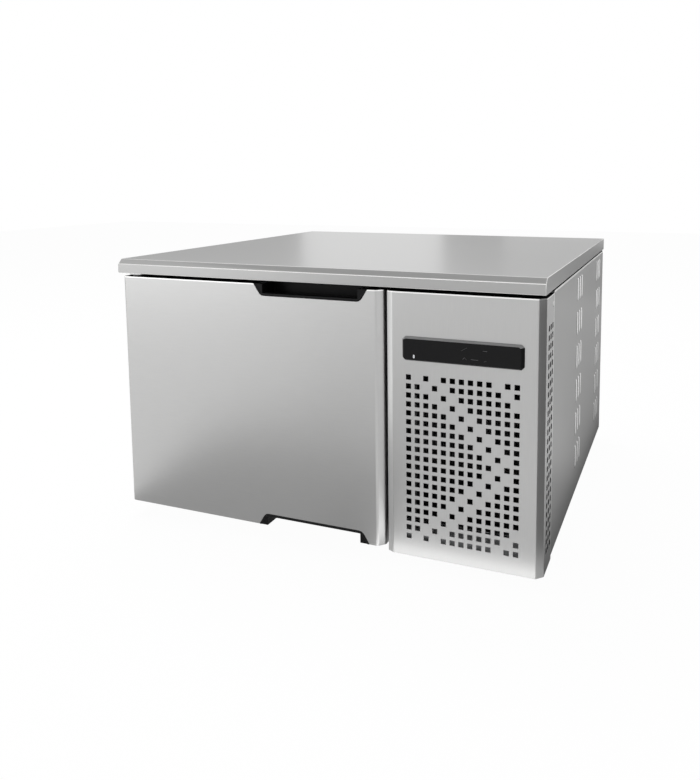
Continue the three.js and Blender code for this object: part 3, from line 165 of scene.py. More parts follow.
alongX, alongY, alongZ, evenly = (0.03, 1, 1), (1, 0.03, 1), (1, 1, 0.03), (1, 1, 1)   # how a pattern is stretched
metalSettings = {   # record slot, pattern, stretch, colour, fineness, depth, roughness
    "worktopSteel": ("stainless", brushedGrain, alongX, (0.53, 0.53, 0.526), 900, 0.1, 0.3),
    # painted shade: a darker copy of the worktop's steel for its front and right faces
    "shadedNoseSteel": ("stainless", brushedGrain, alongX, (0.4, 0.4, 0.397), 900, 0.06, 0.3),
    "doorSteel": ("stainless", brushedGrain, alongX, (0.53, 0.53, 0.527), 900, 0.08, 0.34),
    "panelSteel": ("stainless", brushedGrain, alongZ, (0.5, 0.5, 0.497), 900, 0.1, 0.36),
    # painted highlight: a lighter copy of the panel's steel for its left fold
    "litFoldSteel": ("stainless", brushedGrain, alongX, (0.68, 0.68, 0.675), 900, 0.06, 0.3),
    "sideSteel": ("stainless", brushedGrain, alongZ, (0.42, 0.42, 0.417), 700, 0.1, 0.36),
    # painted highlight: the louvre flaps are a much lighter copy of the side's steel
    "litHoodSteel": ("stainless", brushedGrain, alongZ, (0.85, 0.85, 0.845), 700, 0.08, 0.3),
    # painted highlight: the brightest copy of the steel, for broken edges, bright strips and the side screw
    "highlightSteel": ("plain_steel", brushedGrain, alongX, (0.93, 0.93, 0.92), 900, 0.06, 0.3),
    "chamberSteel": ("plain_steel", brushedGrain, alongY, (0.62, 0.625, 0.62), 700, 0.1, 0.28),
    "fittingSteel": ("plain_steel", skinMottle, evenly, (0.58, 0.58, 0.58), 600, 0.12, 0.3),
    "zincSheet": ("galvanised", zincSpangle, evenly, (0.5, 0.51, 0.52), 110, 0.16, 0.42),
    "bladeAluminium": ("aluminium_sheet", skinMottle, evenly, (0.6, 0.61, 0.62), 400, 0.2, 0.36),
    "coilAluminium": ("aluminium_fins", skinMottle, evenly, (0.72, 0.73, 0.74), 300, 0.2, 0.4),
    # painted shade: darker copies of fin aluminium and copper for the condenser inside the housing
    "shadedCondenserFoil": ("aluminium_fins", skinMottle, evenly, (0.16, 0.16, 0.162), 300, 0.3, 0.5),
    "pipeCopper": ("copper", skinMottle, evenly, (0.66, 0.33, 0.2), 200, 0.3, 0.32),
    "shadedCondenserTube": ("copper", skinMottle, evenly, (0.1, 0.07, 0.055), 200, 0.3, 0.5),
}
skinSettings = {   # record slot, colour, fineness, depth, roughness, relief, specular, coat
    "handlePlastic": ("black_plastic", (0.006, 0.006, 0.0065), 2200, 0.2, 0.4, 0.12, 0.15, 0),
    "bezelPlastic": ("black_plastic", (0.007, 0.007, 0.0075), 2600, 0.15, 0.34, 0.08, 0.15, 0),
    # painted highlight: a lighter copy of the bezel's plastic for its upward slope
    "bezelHighlight": ("black_plastic", (0.3, 0.3, 0.303), 2600, 0.15, 0.4, 0.05, 0.3, 0),
    "windowFilm": ("black_gloss", (0.003, 0.003, 0.0035), 200, 0.05, 0.2, 0.01, 0.15, 0.1),
    "dimMark": ("grey_plastic", (0.07, 0.07, 0.073), 800, 0.1, 0.4, 0.01, 0.5, 0),
    "lampMark": ("grey_plastic", (0.8, 0.82, 0.85), 800, 0.05, 0.4, 0.01, 0.5, 0),
    "fanPlastic": ("black_plastic", (0.02, 0.02, 0.021), 900, 0.2, 0.45, 0.1, 0.5, 0),
    "fittingPlastic": ("grey_plastic", (0.62, 0.63, 0.64), 1500, 0.1, 0.45, 0.06, 0.5, 0),
    "gasketRubber": ("grey_rubber", (0.3, 0.305, 0.31), 1400, 0.2, 0.7, 0.15, 0.5, 0),
    "mountRubber": ("black_rubber", (0.02, 0.02, 0.02), 1400, 0.2, 0.8, 0.2, 0.5, 0),
    "machinePaint": ("black_paint", (0.018, 0.018, 0.02), 500, 0.2, 0.35, 0.1, 0.5, 0),
    "shadowBlack": ("black_plastic", (0.006, 0.006, 0.006), 900, 0.2, 0.8, 0.1, 0.05, 0),
    # painted shade: near black for the worktop's core, which shows in the gap under it
    "shadedCoreBlack": ("black_plastic", (0.012, 0.012, 0.012), 700, 0.2, 0.8, 0.2, 0.5, 0),
    "wallFoam": ("foam", (0.78, 0.7, 0.45), 500, 0.2, 0.9, 0.4, 0.5, 0),
}
finishes = {name: makeFinish(name, *settings[1:], metallic=1) for name, settings in metalSettings.items()}
finishes |= {name: makeFinish(name, skinMottle, evenly, *settings[1:]) for name, settings in skinSettings.items()}
print("materials:", len(finishes))


# mesh helpers

cadWeld, gridWeld, sliver = 1e-6, 2e-6, 1e-7      # metres within which points are one
flatAngle = 1                                     # degrees within which facets are one face
uprightLean, foldReach = 0.01, 0.15               # an upright edge's greatest lean, and how near a fold it stands


def keepPiece(name, mesh, finish, body, stands=()):
    # the mesh as a piece that rides on a body and stands for CAD nodes
    piece = bpy.data.objects.new(name, mesh)
    bpy.context.scene.collection.objects.link(piece)
    mesh.materials.append(finishes[finish])
    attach(piece, body)
    if stands:
        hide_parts(*stands)
    return piece


def readValues(rows, key, kind=float, width=1):
    # one value, or a row of values, from each vertex, edge, loop or polygon
    values = np.empty(len(rows) * width, kind)
    rows.foreach_get(key, values)
    return values.reshape(-1, width) if width > 1 else values


def smoothUnder(mesh, angle):
    # smooth but for edges past the angle, in degrees
    mesh.polygons.foreach_set("use_smooth", np.ones(len(mesh.polygons), bool))
    mesh.set_sharp_from_angle(angle=math.radians(angle))


def addFolds(piece, folds):
    # upright edges at each fold's X and Y are weighted by its rounding, and a Bevel follows the weights
    mesh, largest = piece.data, folds[0][2]
    places = readValues(mesh.vertices, "co", width=3) / millimetre
    ends = places[readValues(mesh.edges, "vertices", int, 2)]
    lean = np.linalg.norm((ends[:, 0] - ends[:, 1])[:, :2], axis=1)
    weights = np.zeros(len(mesh.edges), np.float32)
    for x, y, rounding in folds:
        away = np.linalg.norm(ends[:, 0, :2] - (x, y), axis=1)
        weights[(lean < uprightLean) & (away < foldReach)] = rounding / largest
    mesh.attributes.new("bevel_weight_edge", "FLOAT", "EDGE").data.foreach_set("value", weights)
    bend = piece.modifiers.new("folds", "BEVEL")
    bend.width = largest * millimetre
    bend.segments = 4
    bend.limit_method = "WEIGHT"
    print(piece.name, "folds:", int((weights > 0).sum()), "edges")


def refinedCopy(node, finish, edge, angle, folds=(), highlightFinish=None, strip=0.0):
    # the node's own solid with its doubles merged, its flat facets joined and its edges broken; a highlight finish,
    # if given, is a painted highlight on the broken edges, and strip cuts a line round the piece that far below its
    # top
    source = frame["nodes"][node]
    work = bmesh.new()
    work.from_mesh(source.data)
    bmesh.ops.remove_doubles(work, verts=work.verts, dist=cadWeld)
    bmesh.ops.dissolve_limit(work, angle_limit=math.radians(flatAngle), verts=work.verts, edges=work.edges)
    if strip:
        line = (0, 0, (nodeSpan(node)[5] - strip) * millimetre)
        bmesh.ops.bisect_plane(work, geom=[*work.verts, *work.edges, *work.faces], plane_co=line, plane_no=(0, 0, 1))
    mesh = bpy.data.meshes.new(node + "_finished")
    work.to_mesh(mesh)
    work.free()
    piece = keepPiece(node + "_finished", mesh, finish, source["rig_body"], (node,))
    if folds:
        addFolds(piece, folds)
    bevel = piece.modifiers.new("edges", "BEVEL")
    if highlightFinish:
        mesh.materials.append(finishes[highlightFinish])
        bevel.material = 1
    bevel.width = edge * millimetre
    bevel.segments = 2
    bevel.angle_limit = math.radians(angle)
    smoothUnder(mesh, angle)
    return piece


def gridPart(grid, wrapAcross=False, wrapAlong=False, capped=False, kept=None):
    # a grid of points becomes quads between neighbours; a wrap joins the last line to the first,
    # capped closes the first and last rings, and kept is a mask of the cells that stay
    rows, columns = grid.shape[:2]
    index = np.arange(rows * columns).reshape(rows, columns)
    full = np.hstack([index, index[:, :1]]) if wrapAcross else index
    full = np.vstack([full, full[:1]]) if wrapAlong else full
    quads = np.stack([full[:-1, :-1], full[:-1, 1:], full[1:, 1:], full[1:, :-1]], axis=-1)
    quads = quads[kept] if kept is not None else quads.reshape(-1, 4)
    caps = [index[0, ::-1], index[-1]] if capped else []
    return grid.reshape(-1, 3), quads, caps


def makePiece(name, parts, finish, stands=(), body="cabinet", sharp=40, closed=True):
    # grid parts as one piece in metres, with seams and poles merged
    points, quads, caps = zip(*parts)
    starts = np.cumsum([0] + [len(grid) for grid in points])
    faces = np.vstack([cells + start for cells, start in zip(quads, starts)]).tolist()
    faces += [(cap + start).tolist() for ends, start in zip(caps, starts) for cap in ends]
    mesh = bpy.data.meshes.new(name)
    mesh.from_pydata((np.vstack(points) * millimetre).tolist(), [], faces)
    work = bmesh.new()
    work.from_mesh(mesh)
    bmesh.ops.remove_doubles(work, verts=work.verts, dist=gridWeld)
    bmesh.ops.dissolve_degenerate(work, edges=work.edges, dist=sliver)
    if closed:
        bmesh.ops.recalc_face_normals(work, faces=work.faces)
    work.to_mesh(mesh)
    work.free()
    piece = keepPiece(name, mesh, finish, body, stands)
    smoothUnder(mesh, sharp)
    return piece


def finishWhere(piece, finish, chosen):
    # polygons chosen by their centres and normals take a second finish
    mesh = piece.data
    centres, normals = [readValues(mesh.polygons, key, width=3) for key in ("center", "normal")]
    slots = readValues(mesh.polygons, "material_index", np.int32)
    mesh.materials.append(finishes[finish])
    slots[chosen(centres / millimetre, normals)] = len(mesh.materials) - 1
    mesh.polygons.foreach_set("material_index", slots)


def addSheet(piece, thickness):
    # a surface gets its thickness inwards
    wall = piece.modifiers.new("sheet", "SOLIDIFY")
    wall.thickness = thickness * millimetre
    return wall


def addCutSheet(piece, thickness):
    # the same for a sheet with holes, which stays flat up to its cut edges
    mesh = piece.data
    sharp = readValues(mesh.edges, "use_edge_sharp", bool)
    facesAt = np.bincount(readValues(mesh.loops, "edge_index", np.int32), minlength=sharp.size)
    mesh.edges.foreach_set("use_edge_sharp", sharp | (facesAt == 1))
    wall = addSheet(piece, thickness)
    wall.use_even_offset = True
    return wall


def softened(points, radius, steps=4, closed=False):
    # each corner becomes a quadratic curve that leaves and joins its sides `radius` from the corner
    points = np.asarray(points, float)
    before, after = np.roll(points, 1, 0) - points, np.roll(points, -1, 0) - points
    lengths = [np.maximum(np.linalg.norm(side, axis=1), 1e-9) for side in (before, after)]
    reach = np.minimum(radius, 0.48 * np.minimum(*lengths))[:, None]
    start, end = points + before / lengths[0][:, None] * reach, points + after / lengths[1][:, None] * reach
    t = np.linspace(0, 1, steps + 1)[None, :, None]
    curve = (1 - t) ** 2 * start[:, None] + 2 * t * (1 - t) * points[:, None] + t ** 2 * end[:, None]
    if closed:
        return curve.reshape(-1, points.shape[1])
    return np.vstack([points[:1], curve[1:-1].reshape(-1, points.shape[1]), points[-1:]])


def circle(count):
    # angles once round
    return np.linspace(0, 2 * np.pi, count, endpoint=False)


def onAxis(axis, along, first, second):
    # three arrays of coordinates as points, with `along` on the named axis
    order = {"x": (along, first, second), "y": (first, along, second), "z": (first, second, along)}[axis]
    return np.stack(np.broadcast_arrays(*order), axis=-1)


def turnedPart(axis, at, profile, segments=48, closed=False):
    # a profile of radius and distance along an axis, turned once round that axis
    radius, along = np.asarray(profile, float).T[:, :, None]
    angle = circle(segments)
    points = onAxis(axis, along, radius * np.cos(angle), radius * np.sin(angle))
    return gridPart(points + np.asarray(at, float), wrapAcross=True, wrapAlong=closed)


def makeTurned(name, axis, at, profile, soft, finish, stands, body="cabinet", segments=48, closed=False):
    # a piece that is one softened profile turned round an axis; closed where the profile meets itself
    part = turnedPart(axis, at, softened(profile, soft, closed=closed), segments, closed)
    return makePiece(name, [part], finish, stands, body)


def smoothRoute(points, perSpan=8):
    # centripetal Catmull-Rom: on each span a cubic whose end slopes come from its neighbours
    points = np.asarray(points, float)
    padded = np.vstack([2 * points[0] - points[1], points, 2 * points[-1] - points[-2]])
    p0, p1, p2, p3 = padded[:-3], padded[1:-2], padded[2:-1], padded[3:]
    gaps = [np.sqrt(np.linalg.norm(b - a, axis=1))[:, None] for a, b in ((p0, p1), (p1, p2), (p2, p3))]
    slopeA = ((p1 - p0) / gaps[0] - (p2 - p0) / (gaps[0] + gaps[1]) + (p2 - p1) / gaps[1]) * gaps[1]
    slopeB = ((p2 - p1) / gaps[1] - (p3 - p1) / (gaps[1] + gaps[2]) + (p3 - p2) / gaps[2]) * gaps[1]
    t = np.linspace(0, 1, perSpan, endpoint=False)[None, :, None]
    c = [a[:, None] for a in (p1, slopeA, 3 * (p2 - p1) - 2 * slopeA - slopeB, 2 * (p1 - p2) + slopeA + slopeB)]
    curve = c[0] + c[1] * t + c[2] * t ** 2 + c[3] * t ** 3
    return np.vstack([curve.reshape(-1, 3), points[-1:]])


def tubePart(route, radius, sides=12, reference=(0.31, 0.23, 0.92), wrap=False):
    # a circle of the given radius carried along a route, square to it everywhere
    route = np.asarray(route, float)
    slope = np.roll(route, -1, 0) - np.roll(route, 1, 0) if wrap else np.gradient(route, axis=0)
    slope /= np.linalg.norm(slope, axis=1)[:, None]
    side = np.cross(slope, np.asarray(reference, float))
    side /= np.linalg.norm(side, axis=1)[:, None]
    other = np.cross(side, slope)
    angle = circle(sides)[None, :, None]
    grid = route[:, None] + radius * (np.cos(angle) * side[:, None] + np.sin(angle) * other[:, None])
    return gridPart(grid, wrapAcross=True, wrapAlong=wrap, capped=not wrap)


def roundedOutlines(halfWidth, halfHeight, corner, steps=6):
    # rounded rectangles about the origin, one for each value: quarter circles round four centres
    halfWidth, halfHeight, corner = [np.asarray(v, float)[:, None] for v in (halfWidth, halfHeight, corner)]
    angle = (np.arange(4)[:, None] * np.pi / 2 + np.linspace(0, np.pi / 2, steps + 1)).reshape(1, -1)
    signX, signY = np.repeat([1, -1, -1, 1], steps + 1), np.repeat([1, 1, -1, -1], steps + 1)
    u = signX * (halfWidth - corner) + corner * np.cos(angle)
    v = signY * (halfHeight - corner) + corner * np.sin(angle)
    return u, v


def blockPart(low, high, corner, edge, axis="z", steps=5):
    # a block whose outline is a rounded rectangle and whose two ends close in along a quarter circle
    low, high = np.asarray(low, float), np.asarray(high, float)
    half, middle = (high - low) / 2, (high + low) / 2
    first, second, along = {"x": (1, 2, 0), "y": (0, 2, 1), "z": (0, 1, 2)}[axis]
    turn = np.linspace(0, np.pi / 2, steps + 1)
    inset = np.concatenate([edge * (1 - np.sin(turn)), edge * (1 - np.cos(turn))])
    height = np.concatenate([edge * (1 - np.cos(turn)) - half[along], half[along] - edge * (1 - np.sin(turn))])
    u, v = roundedOutlines(half[first] - inset, half[second] - inset, np.maximum(corner - inset, 0.05))
    return gridPart(onAxis(axis, height[:, None], u, v) + middle, wrapAcross=True, capped=True)


def ringPart(profile, centre, half, corner):
    # a closed profile of outset and depth carried round an upright rounded rectangle
    outset, depth = np.asarray(profile, float).T
    u, v = roundedOutlines(half[0] + outset, half[1] + outset, np.maximum(corner + outset, 0.4))
    return gridPart(onAxis("y", depth[:, None], centre[0] + u, centre[1] + v), wrapAcross=True, wrapAlong=True)


def stackedPart(outlines, depths):
    # outlines in X and Z set one behind the other in Y, joined by quads and capped
    rings = [onAxis("y", depth, *outline.T) for outline, depth in zip(outlines, depths)]
    return gridPart(np.stack(rings), wrapAcross=True, capped=True)


crossSettings = {"dome": 0.75, "arm": 0.13, "reach": 0.6, "recess": 0.9}   # shares of the radius; depth


def screwPart(at, axis, side, radius, rise):
    # a pan head with a cross recess: a dome of r and angle, less a dip where either arm of the cross is near
    s = crossSettings
    r, angle = np.linspace(0, 1, 9)[:, None], circle(32)[None]
    u, v = r * np.cos(angle), r * np.sin(angle)
    arm = np.minimum(np.abs(u), np.abs(v)) < s["arm"]
    height = rise * np.sqrt(1 - s["dome"] * r ** 2) - s["recess"] * (arm & (r < s["reach"]))
    height, u, v = np.vstack([height, 0 * angle]), np.vstack([u, u[-1:]]) * radius, np.vstack([v, v[-1:]]) * radius
    return gridPart(onAxis(axis, height * side, u, v) + np.asarray(at, float), wrapAcross=True)


# pieces that keep their CAD form, with broken edges

refinedPieces = {  # finish and edge width: nodes
    ("worktopSteel", 0.9): ("worktop",),
    ("doorSteel", 0.6): ("door_skin",),
    ("sideSteel", 0.4): ("left_side_panel",),
    ("panelSteel", 0.3): ("front_frame",),
    ("handlePlastic", 0.8): ("upper_handle", "lower_handle"),
    ("zincSheet", 0.2): ("divider_panel",),
    ("zincSheet", 0.3): ("rear_panel", "compartment_rail", "unit_tray", "condenser_shroud", "condenser_fan_bracket"),
    ("zincSheet", 0.4): ("base_pan",),
    ("chamberSteel", 0.3): ("chamber_liner", "fan_baffle"),
    ("chamberSteel", 1.0): ("door_liner",),
    ("fittingSteel", 0.3): ("tray_rack_left", "tray_rack_right", "evaporator_fan_bracket"),
    ("fittingSteel", 0.4): ("upper_hinge_bracket", "lower_hinge_bracket"),
    ("fittingPlastic", 0.5): ("door_switch",),
    ("fittingPlastic", 1.0): ("electrical_box",),
    ("fanPlastic", 0.5): ("controller_module",),
}
sharpAngle, gentleAngle = 28, 36
gentleNodes = ("chamber_liner", "fan_baffle", "door_liner")   # their coved corners stay smooth
doorSettings = {
    "left": (3.0, 1.5), "right": (10.5, 2.4), "ease": 0.4,   # folds: bevel and rounding; how much tighter inside
    "sheet": 1.2, "strip": 1.9,
}


def doorFolds(s):
    # both ends of each bevel, on the outside of the sheet and on its inside
    x0, x1, y0 = nodeSpan("door_skin")[:3]
    lines = []
    for (bevel, rounding), edge, inward in ((s["right"], x1, -1), (s["left"], x0, 1)):
        for inset in (0.0, s["sheet"]):
            reach, softness = bevel - inset * (2 - math.sqrt(2)), rounding - s["ease"] * inset
            x, y = edge + inward * inset, y0 + inset
            lines += [(x + inward * reach, y, softness), (x, y + reach, softness)]
    return lines


# painted highlight: the worktop's and the door's broken edges take the brightest steel
refinedExtras = {
    "worktop": {"highlightFinish": "highlightSteel"},
    "door_skin": {"highlightFinish": "highlightSteel", "folds": doorFolds(doorSettings), "strip": doorSettings["strip"]},
}
refined = {node: refinedCopy(node, finish, edge, gentleAngle if node in gentleNodes else sharpAngle,
                             **refinedExtras.get(node, {}))
           for (finish, edge), nodes in refinedPieces.items() for node in nodes}
# the worktop's front and right edge are brushed along, and carry painted shade: a darker copy of its steel
finishWhere(refined["worktop"], "shadedNoseSteel", lambda at, facing: (facing[:, 1] < -0.5) | (facing[:, 0] > 0.5))
# painted shade: the door's top face is black for the shadow gap above it, over a painted highlight strip
doorTop = nodeSpan("door_skin")[5]
finishWhere(refined["door_skin"], "shadowBlack", lambda at, facing: (at[:, 2] > doorTop - 0.1) & (facing[:, 2] > 0.9))
finishWhere(refined["door_skin"], "highlightSteel",
            lambda at, facing: (at[:, 2] > doorTop - doorSettings["strip"]) & (facing[:, 1] < -0.6))

# painted shade: the worktop's core is near black
plainNodes = {"worktop_core": "shadedCoreBlack", "cell_foam": "wallFoam", "door_foam": "wallFoam"}  # own mesh kept
for node, finish in plainNodes.items():
    frame["nodes"][node].data.materials.clear()
    frame["nodes"][node].data.materials.append(finishes[finish])
print("pieces:", len(refined), "refined,", len(plainNodes), "plain")


# perforated panel: one folded sheet with its holes left out of the grid

grilleSettings = {
    "across": (128.5, 373.5), "face": -340.0, "rear": -274.0, "height": (22.0, 437.0), "sheet": 1.2,
    "leftFold": 5.0, "fold": 10.5, "foldRadius": 1.6, "foldSteps": 6, "highlightBand": 3.0, "strip": 1.9,
    "pitch": 14.0, "hole": 8.3, "firstColumn": 165.5, "columns": 13, "firstRow": 306.2, "rows": 19,
    "sideColumn": -313.0, "sideColumns": 3, "extraRows": 6, "blank": (1, 3, 10),
}


def makeGrillePanel(s):
    # plan of the sheet from its left return round its face to its right return, carried up the height
    (x0, x1), y0, y1, fold, (bottom, top) = s["across"], s["face"], s["rear"], s["fold"], s["height"]
    corners = [(x0, y1), (x0, y0 + s["leftFold"]), (x0 + fold, y0), (x1 - fold, y0), (x1, y0 + fold), (x1, y1)]
    bends = softened(corners, s["foldRadius"], s["foldSteps"])
    hole = np.array([-0.5, 0.5]) * s["hole"]
    faceLines = (s["firstColumn"] + s["pitch"] * np.arange(s["columns"])[:, None] + hole).ravel()
    sideLines = (s["sideColumn"] + s["pitch"] * np.arange(s["sideColumns"])[:, None] + hole).ravel()
    firstFace = len(bends) // 2
    plan = np.vstack([bends[:firstFace], np.stack([faceLines, np.full(faceLines.size, y0)], axis=1),
                      bends[firstFace:-1], np.stack([np.full(sideLines.size, x1), sideLines], axis=1),
                      [(x1, y1 - s["highlightBand"])], bends[-1:]])
    rowsUp = s["firstRow"] - s["pitch"] * np.arange(-s["extraRows"], s["rows"])[::-1]
    heights = np.concatenate([[bottom], (rowsUp[:, None] + hole).ravel(), [top - s["strip"], top]])
    grid = onAxis("z", heights[:, None], *plan.T)
    # in front the blanks follow diagonals that turn back at the middle row
    kept = np.ones((heights.size - 1, len(plan) - 1), bool)
    fromTop = np.arange(s["rows"])[:, None]
    diagonal = np.arange(s["columns"]) - np.minimum(fromTop, s["rows"] - 1 - fromTop)
    blank = np.isin(diagonal, s["blank"])
    blank[(s["rows"] - 1) // 2, -1] = False
    kept[np.ix_(1 + 2 * np.arange(s["rows"])[::-1], firstFace + 2 * np.arange(s["columns"]))] = blank
    firstSide = len(plan) - 2 - sideLines.size
    kept[np.ix_(1 + 2 * np.arange(s["rows"] + s["extraRows"]), firstSide + 2 * np.arange(s["sideColumns"]))] = False
    inner = plan[1:-1]
    rear = np.stack([inner[:, 0], np.full(len(inner), y1)], axis=1)
    flanges = [gridPart(onAxis("z", height, *np.stack(lines).transpose(2, 0, 1)))
               for height, lines in ((top, (inner, rear)), (bottom, (rear, inner)))]
    piece = makePiece("perforated_panel", [gridPart(grid, kept=kept)] + flanges, "panelSteel", ("grille_panel",),
                      sharp=30, closed=False)
    # painted shade: the holes' walls and the top flange take the black finish
    addCutSheet(piece, s["sheet"]).material_offset_rim = 1   # the holes' walls read dark
    finishWhere(piece, "shadowBlack", lambda at, facing: (at[:, 2] > top - 0.1) & (at[:, 1] > y0 + 0.4))
    # painted highlight: the left fold takes a lighter copy of the panel's steel
    finishWhere(piece, "litFoldSteel", lambda at, facing: (facing[:, 0] < -0.2) & (facing[:, 1] < -0.2))
    # painted highlight: a band along the right return's rear edge and a strip under the top take the brightest steel
    finishWhere(piece, "highlightSteel", lambda at, facing: ((facing[:, 0] > 0.9) & (at[:, 1] > y1 - s["highlightBand"]))
                | ((np.abs(facing[:, 2]) < 0.1) & (at[:, 2] > top - s["strip"]) & (at[:, 0] > x0 + 0.5)))


makeGrillePanel(grilleSettings)


# right side: a sheet with slots, and a pressed flap over each

louvreSettings = {
    "face": 373.5, "across": (-273.7, 348.5), "height": (28.0, 443.7), "sheet": 1.2, "strip": 2.2,
    "step": [(439.0, 0), (439.5, -0.1), (439.9, -0.35), (440.05, -0.9), (440.1, -2.8)],   # Z and X of the set-in
    "groups": (-11.0, 262.0), "pitch": 24.0, "rows": 6, "rowPitch": 62.0, "middle": 252.0, "margin": 0.6,
    "length": 42.0, "width": 10.0, "mouth": 1.5, "rise": 1.4, "flap": 0.9, "flapLines": (0, 0.22, 0.45, 0.7, 1),
    "bed": 0.02, "fullness": 12,      # how deep a flap starts in the sheet, and how squarely its ends drop
    "tab": ((370.8, -300.0, 397.8), (372.0, -264.0, 429.0)),
    "joggle": ((370.8, -273.6, 397.8), (373.4, -272.5, 429.0)),
}


def makeLouvredSide(s):
    # the sheet is a grid with a line at each slot's edge, and the slots' cells are left out; near the top
    # its X follows the set-in that leaves a shadow line under the worktop
    places = np.array([middle + s["pitch"] * k for middle in s["groups"] for k in (-1, 0, 1)])
    rows = s["middle"] + (np.arange(s["rows"]) - (s["rows"] - 1) / 2) * s["rowPitch"]
    slot = [np.array([-0.5, 0.5]) * (s[size] - 2 * s["margin"]) for size in ("width", "length")]
    y = np.concatenate([s["across"][:1], (places[:, None] + slot[0]).ravel(), s["across"][1:]])
    stepZ, stepX = np.array(s["step"]).T
    z = np.concatenate([s["height"][:1], (rows[:, None] + slot[1]).ravel(), [stepZ[0] - s["strip"]], stepZ,
                        s["height"][1:]])
    x = s["face"] + np.concatenate([np.zeros(2 + 2 * rows.size), stepX, stepX[-1:]])
    kept = np.ones((z.size - 1, y.size - 1), bool)
    kept[np.ix_(1 + 2 * np.arange(rows.size), 1 + 2 * np.arange(places.size))] = False
    piece = makePiece("louvred_side", [gridPart(onAxis("x", x[:, None], y, z[:, None]), kept=kept)], "sideSteel",
                      ("right_side_panel",), sharp=30, closed=False)
    # painted highlight: a strip below the set-in takes the brightest steel
    finishWhere(piece, "highlightSteel", lambda at, facing: (at[:, 2] > stepZ[0] - s["strip"]) & (at[:, 2] < stepZ[1]))
    # painted shade: the set-in under the worktop is black
    finishWhere(piece, "shadowBlack", lambda at, facing: at[:, 2] > stepZ[-1] - 0.2)
    addCutSheet(piece, s["sheet"])
    # flap: rises evenly from its front edge to its free rear edge, and dips to the sheet at both ends
    across, along = np.array(s["flapLines"])[None], np.linspace(-1, 1, 17)[:, None]
    lift = s["rise"] * across * (1 - np.abs(along) ** s["fullness"])
    flap = onAxis("x", s["face"] + lift - s["bed"], across * (s["width"] - s["mouth"]) - s["width"] / 2,
                  along * s["length"] / 2)
    shifts = np.stack(np.meshgrid([0.0], places, rows, indexing="ij"), axis=-1).reshape(-1, 1, 1, 3)
    # painted highlight: the flaps take a much lighter copy of the side's steel
    flaps = makePiece("louvre_flaps", [gridPart(one) for one in flap + shifts], "litHoodSteel", sharp=50, closed=False)
    cellsAcross = len(s["flapLines"]) - 1
    # painted shadow: the cells along each flap's front edge are black
    shadowCells = np.arange(len(flaps.data.polygons)) % cellsAcross == 0   # the cells along each flap's front edge
    finishWhere(flaps, "shadowBlack", lambda at, facing: shadowCells)
    addSheet(flaps, s["flap"])
    blocks = [blockPart(low, high, 0.4, 0.3, "x") for low, high in (s["tab"], s["joggle"])]
    makePiece("side_panel_tab", blocks, "sideSteel")


makeLouvredSide(louvreSettings)


# controller: soft-edged front, flush window and its plain marks

controllerSettings = {
    "rear": (156.4, 344.0, 332.6, 369.6), "rearClip": 4.5,     # X and Z spans against the panel, corner clip
    "face": (159.4, 339.6, 335.0, 367.1), "faceClip": 2.6,     # the same where its sloped edge ends
    "depths": (-340.2, -341.0, -346.15, -346.3), "frontInset": 0.3, "cornerSoft": 1.1,
    "neck": ((176.2, -341, 338.2), (325.8, -320.2, 365.8)),
    "film": (-346.2, -346.45), "filmInset": 0.7, "markDepths": (-346.6, -346.48),
    "lampMark": ((176.8, 339.0), (176.8, 341.8), 1.4),
    "marks": [  # plain strokes in X and Z: start, end, half width
        ((251, 355.2), (256.5, 358.4), 0.18), ((256.5, 358.4), (260, 360.2), 0.14),
        ((284, 357.2), (290, 357.4), 0.4),
        ((253.5, 342.8), (256, 345.4), 0.4), ((256, 345.4), (259, 342.6), 0.2),
        ((266, 343.4), (276.5, 343.2), 0.38), ((285.5, 341.6), (289, 342.6), 0.2),
    ],
}


def strokePart(start, end, halfWidth, depths):
    # a flat stroke with round ends: a capsule outline about the line from start to end, raised a little
    start, end = np.asarray(start, float), np.asarray(end, float)
    heading, angle = np.arctan2(*(end - start)[::-1]), circle(12)
    outline = np.stack([np.cos(angle), np.sin(angle)], axis=1) * halfWidth
    outline += np.where(np.cos(angle - heading)[:, None] > 0, end, start)
    return stackedPart([outline, outline], depths)


def clippedOutline(span, clip, soft, inset=0.0):
    # a rectangle in X and Z with its corners cut at 45 degrees, and each of the eight turns softened
    x0, x1, z0, z1 = np.asarray(span) + np.array([1, -1, 1, -1]) * inset
    corners = [(x0 + clip, z0), (x1 - clip, z0), (x1, z0 + clip), (x1, z1 - clip),
               (x1 - clip, z1), (x0 + clip, z1), (x0, z1 - clip), (x0, z0 + clip)]
    return softened(corners, soft, 3, closed=True)


def makeController(s):
    rear = clippedOutline(s["rear"], s["rearClip"], s["cornerSoft"])
    face, front, film = [clippedOutline(s["face"], s["faceClip"], s["cornerSoft"], inset)
                         for inset in (0.0, s["frontInset"], s["filmInset"])]
    casing = stackedPart([rear, rear, face, front], s["depths"])
    piece = makePiece("controller_front", [casing, blockPart(*s["neck"], 3, 0.3, "y")], "bezelPlastic",
                      ("controller_bezel",), sharp=25)
    # painted highlight: the bezel's upward slope takes a lighter copy of its plastic
    finishWhere(piece, "bezelHighlight", lambda at, facing: (facing[:, 2] > 0.55) & (at[:, 1] < s["depths"][1] - 1))
    makePiece("controller_film", [stackedPart([film, film], s["film"])], "windowFilm", ("controller_window",))
    strokes = [strokePart(*mark, s["markDepths"]) for mark in s["marks"]]
    makePiece("controller_key_marks", strokes, "dimMark")
    makePiece("controller_lamp_mark", [strokePart(*s["lampMark"], s["markDepths"])], "lampMark")


makeController(controllerSettings)


# door: gasket swept round the chamber's mouth, turned hinge parts, lips of the handles

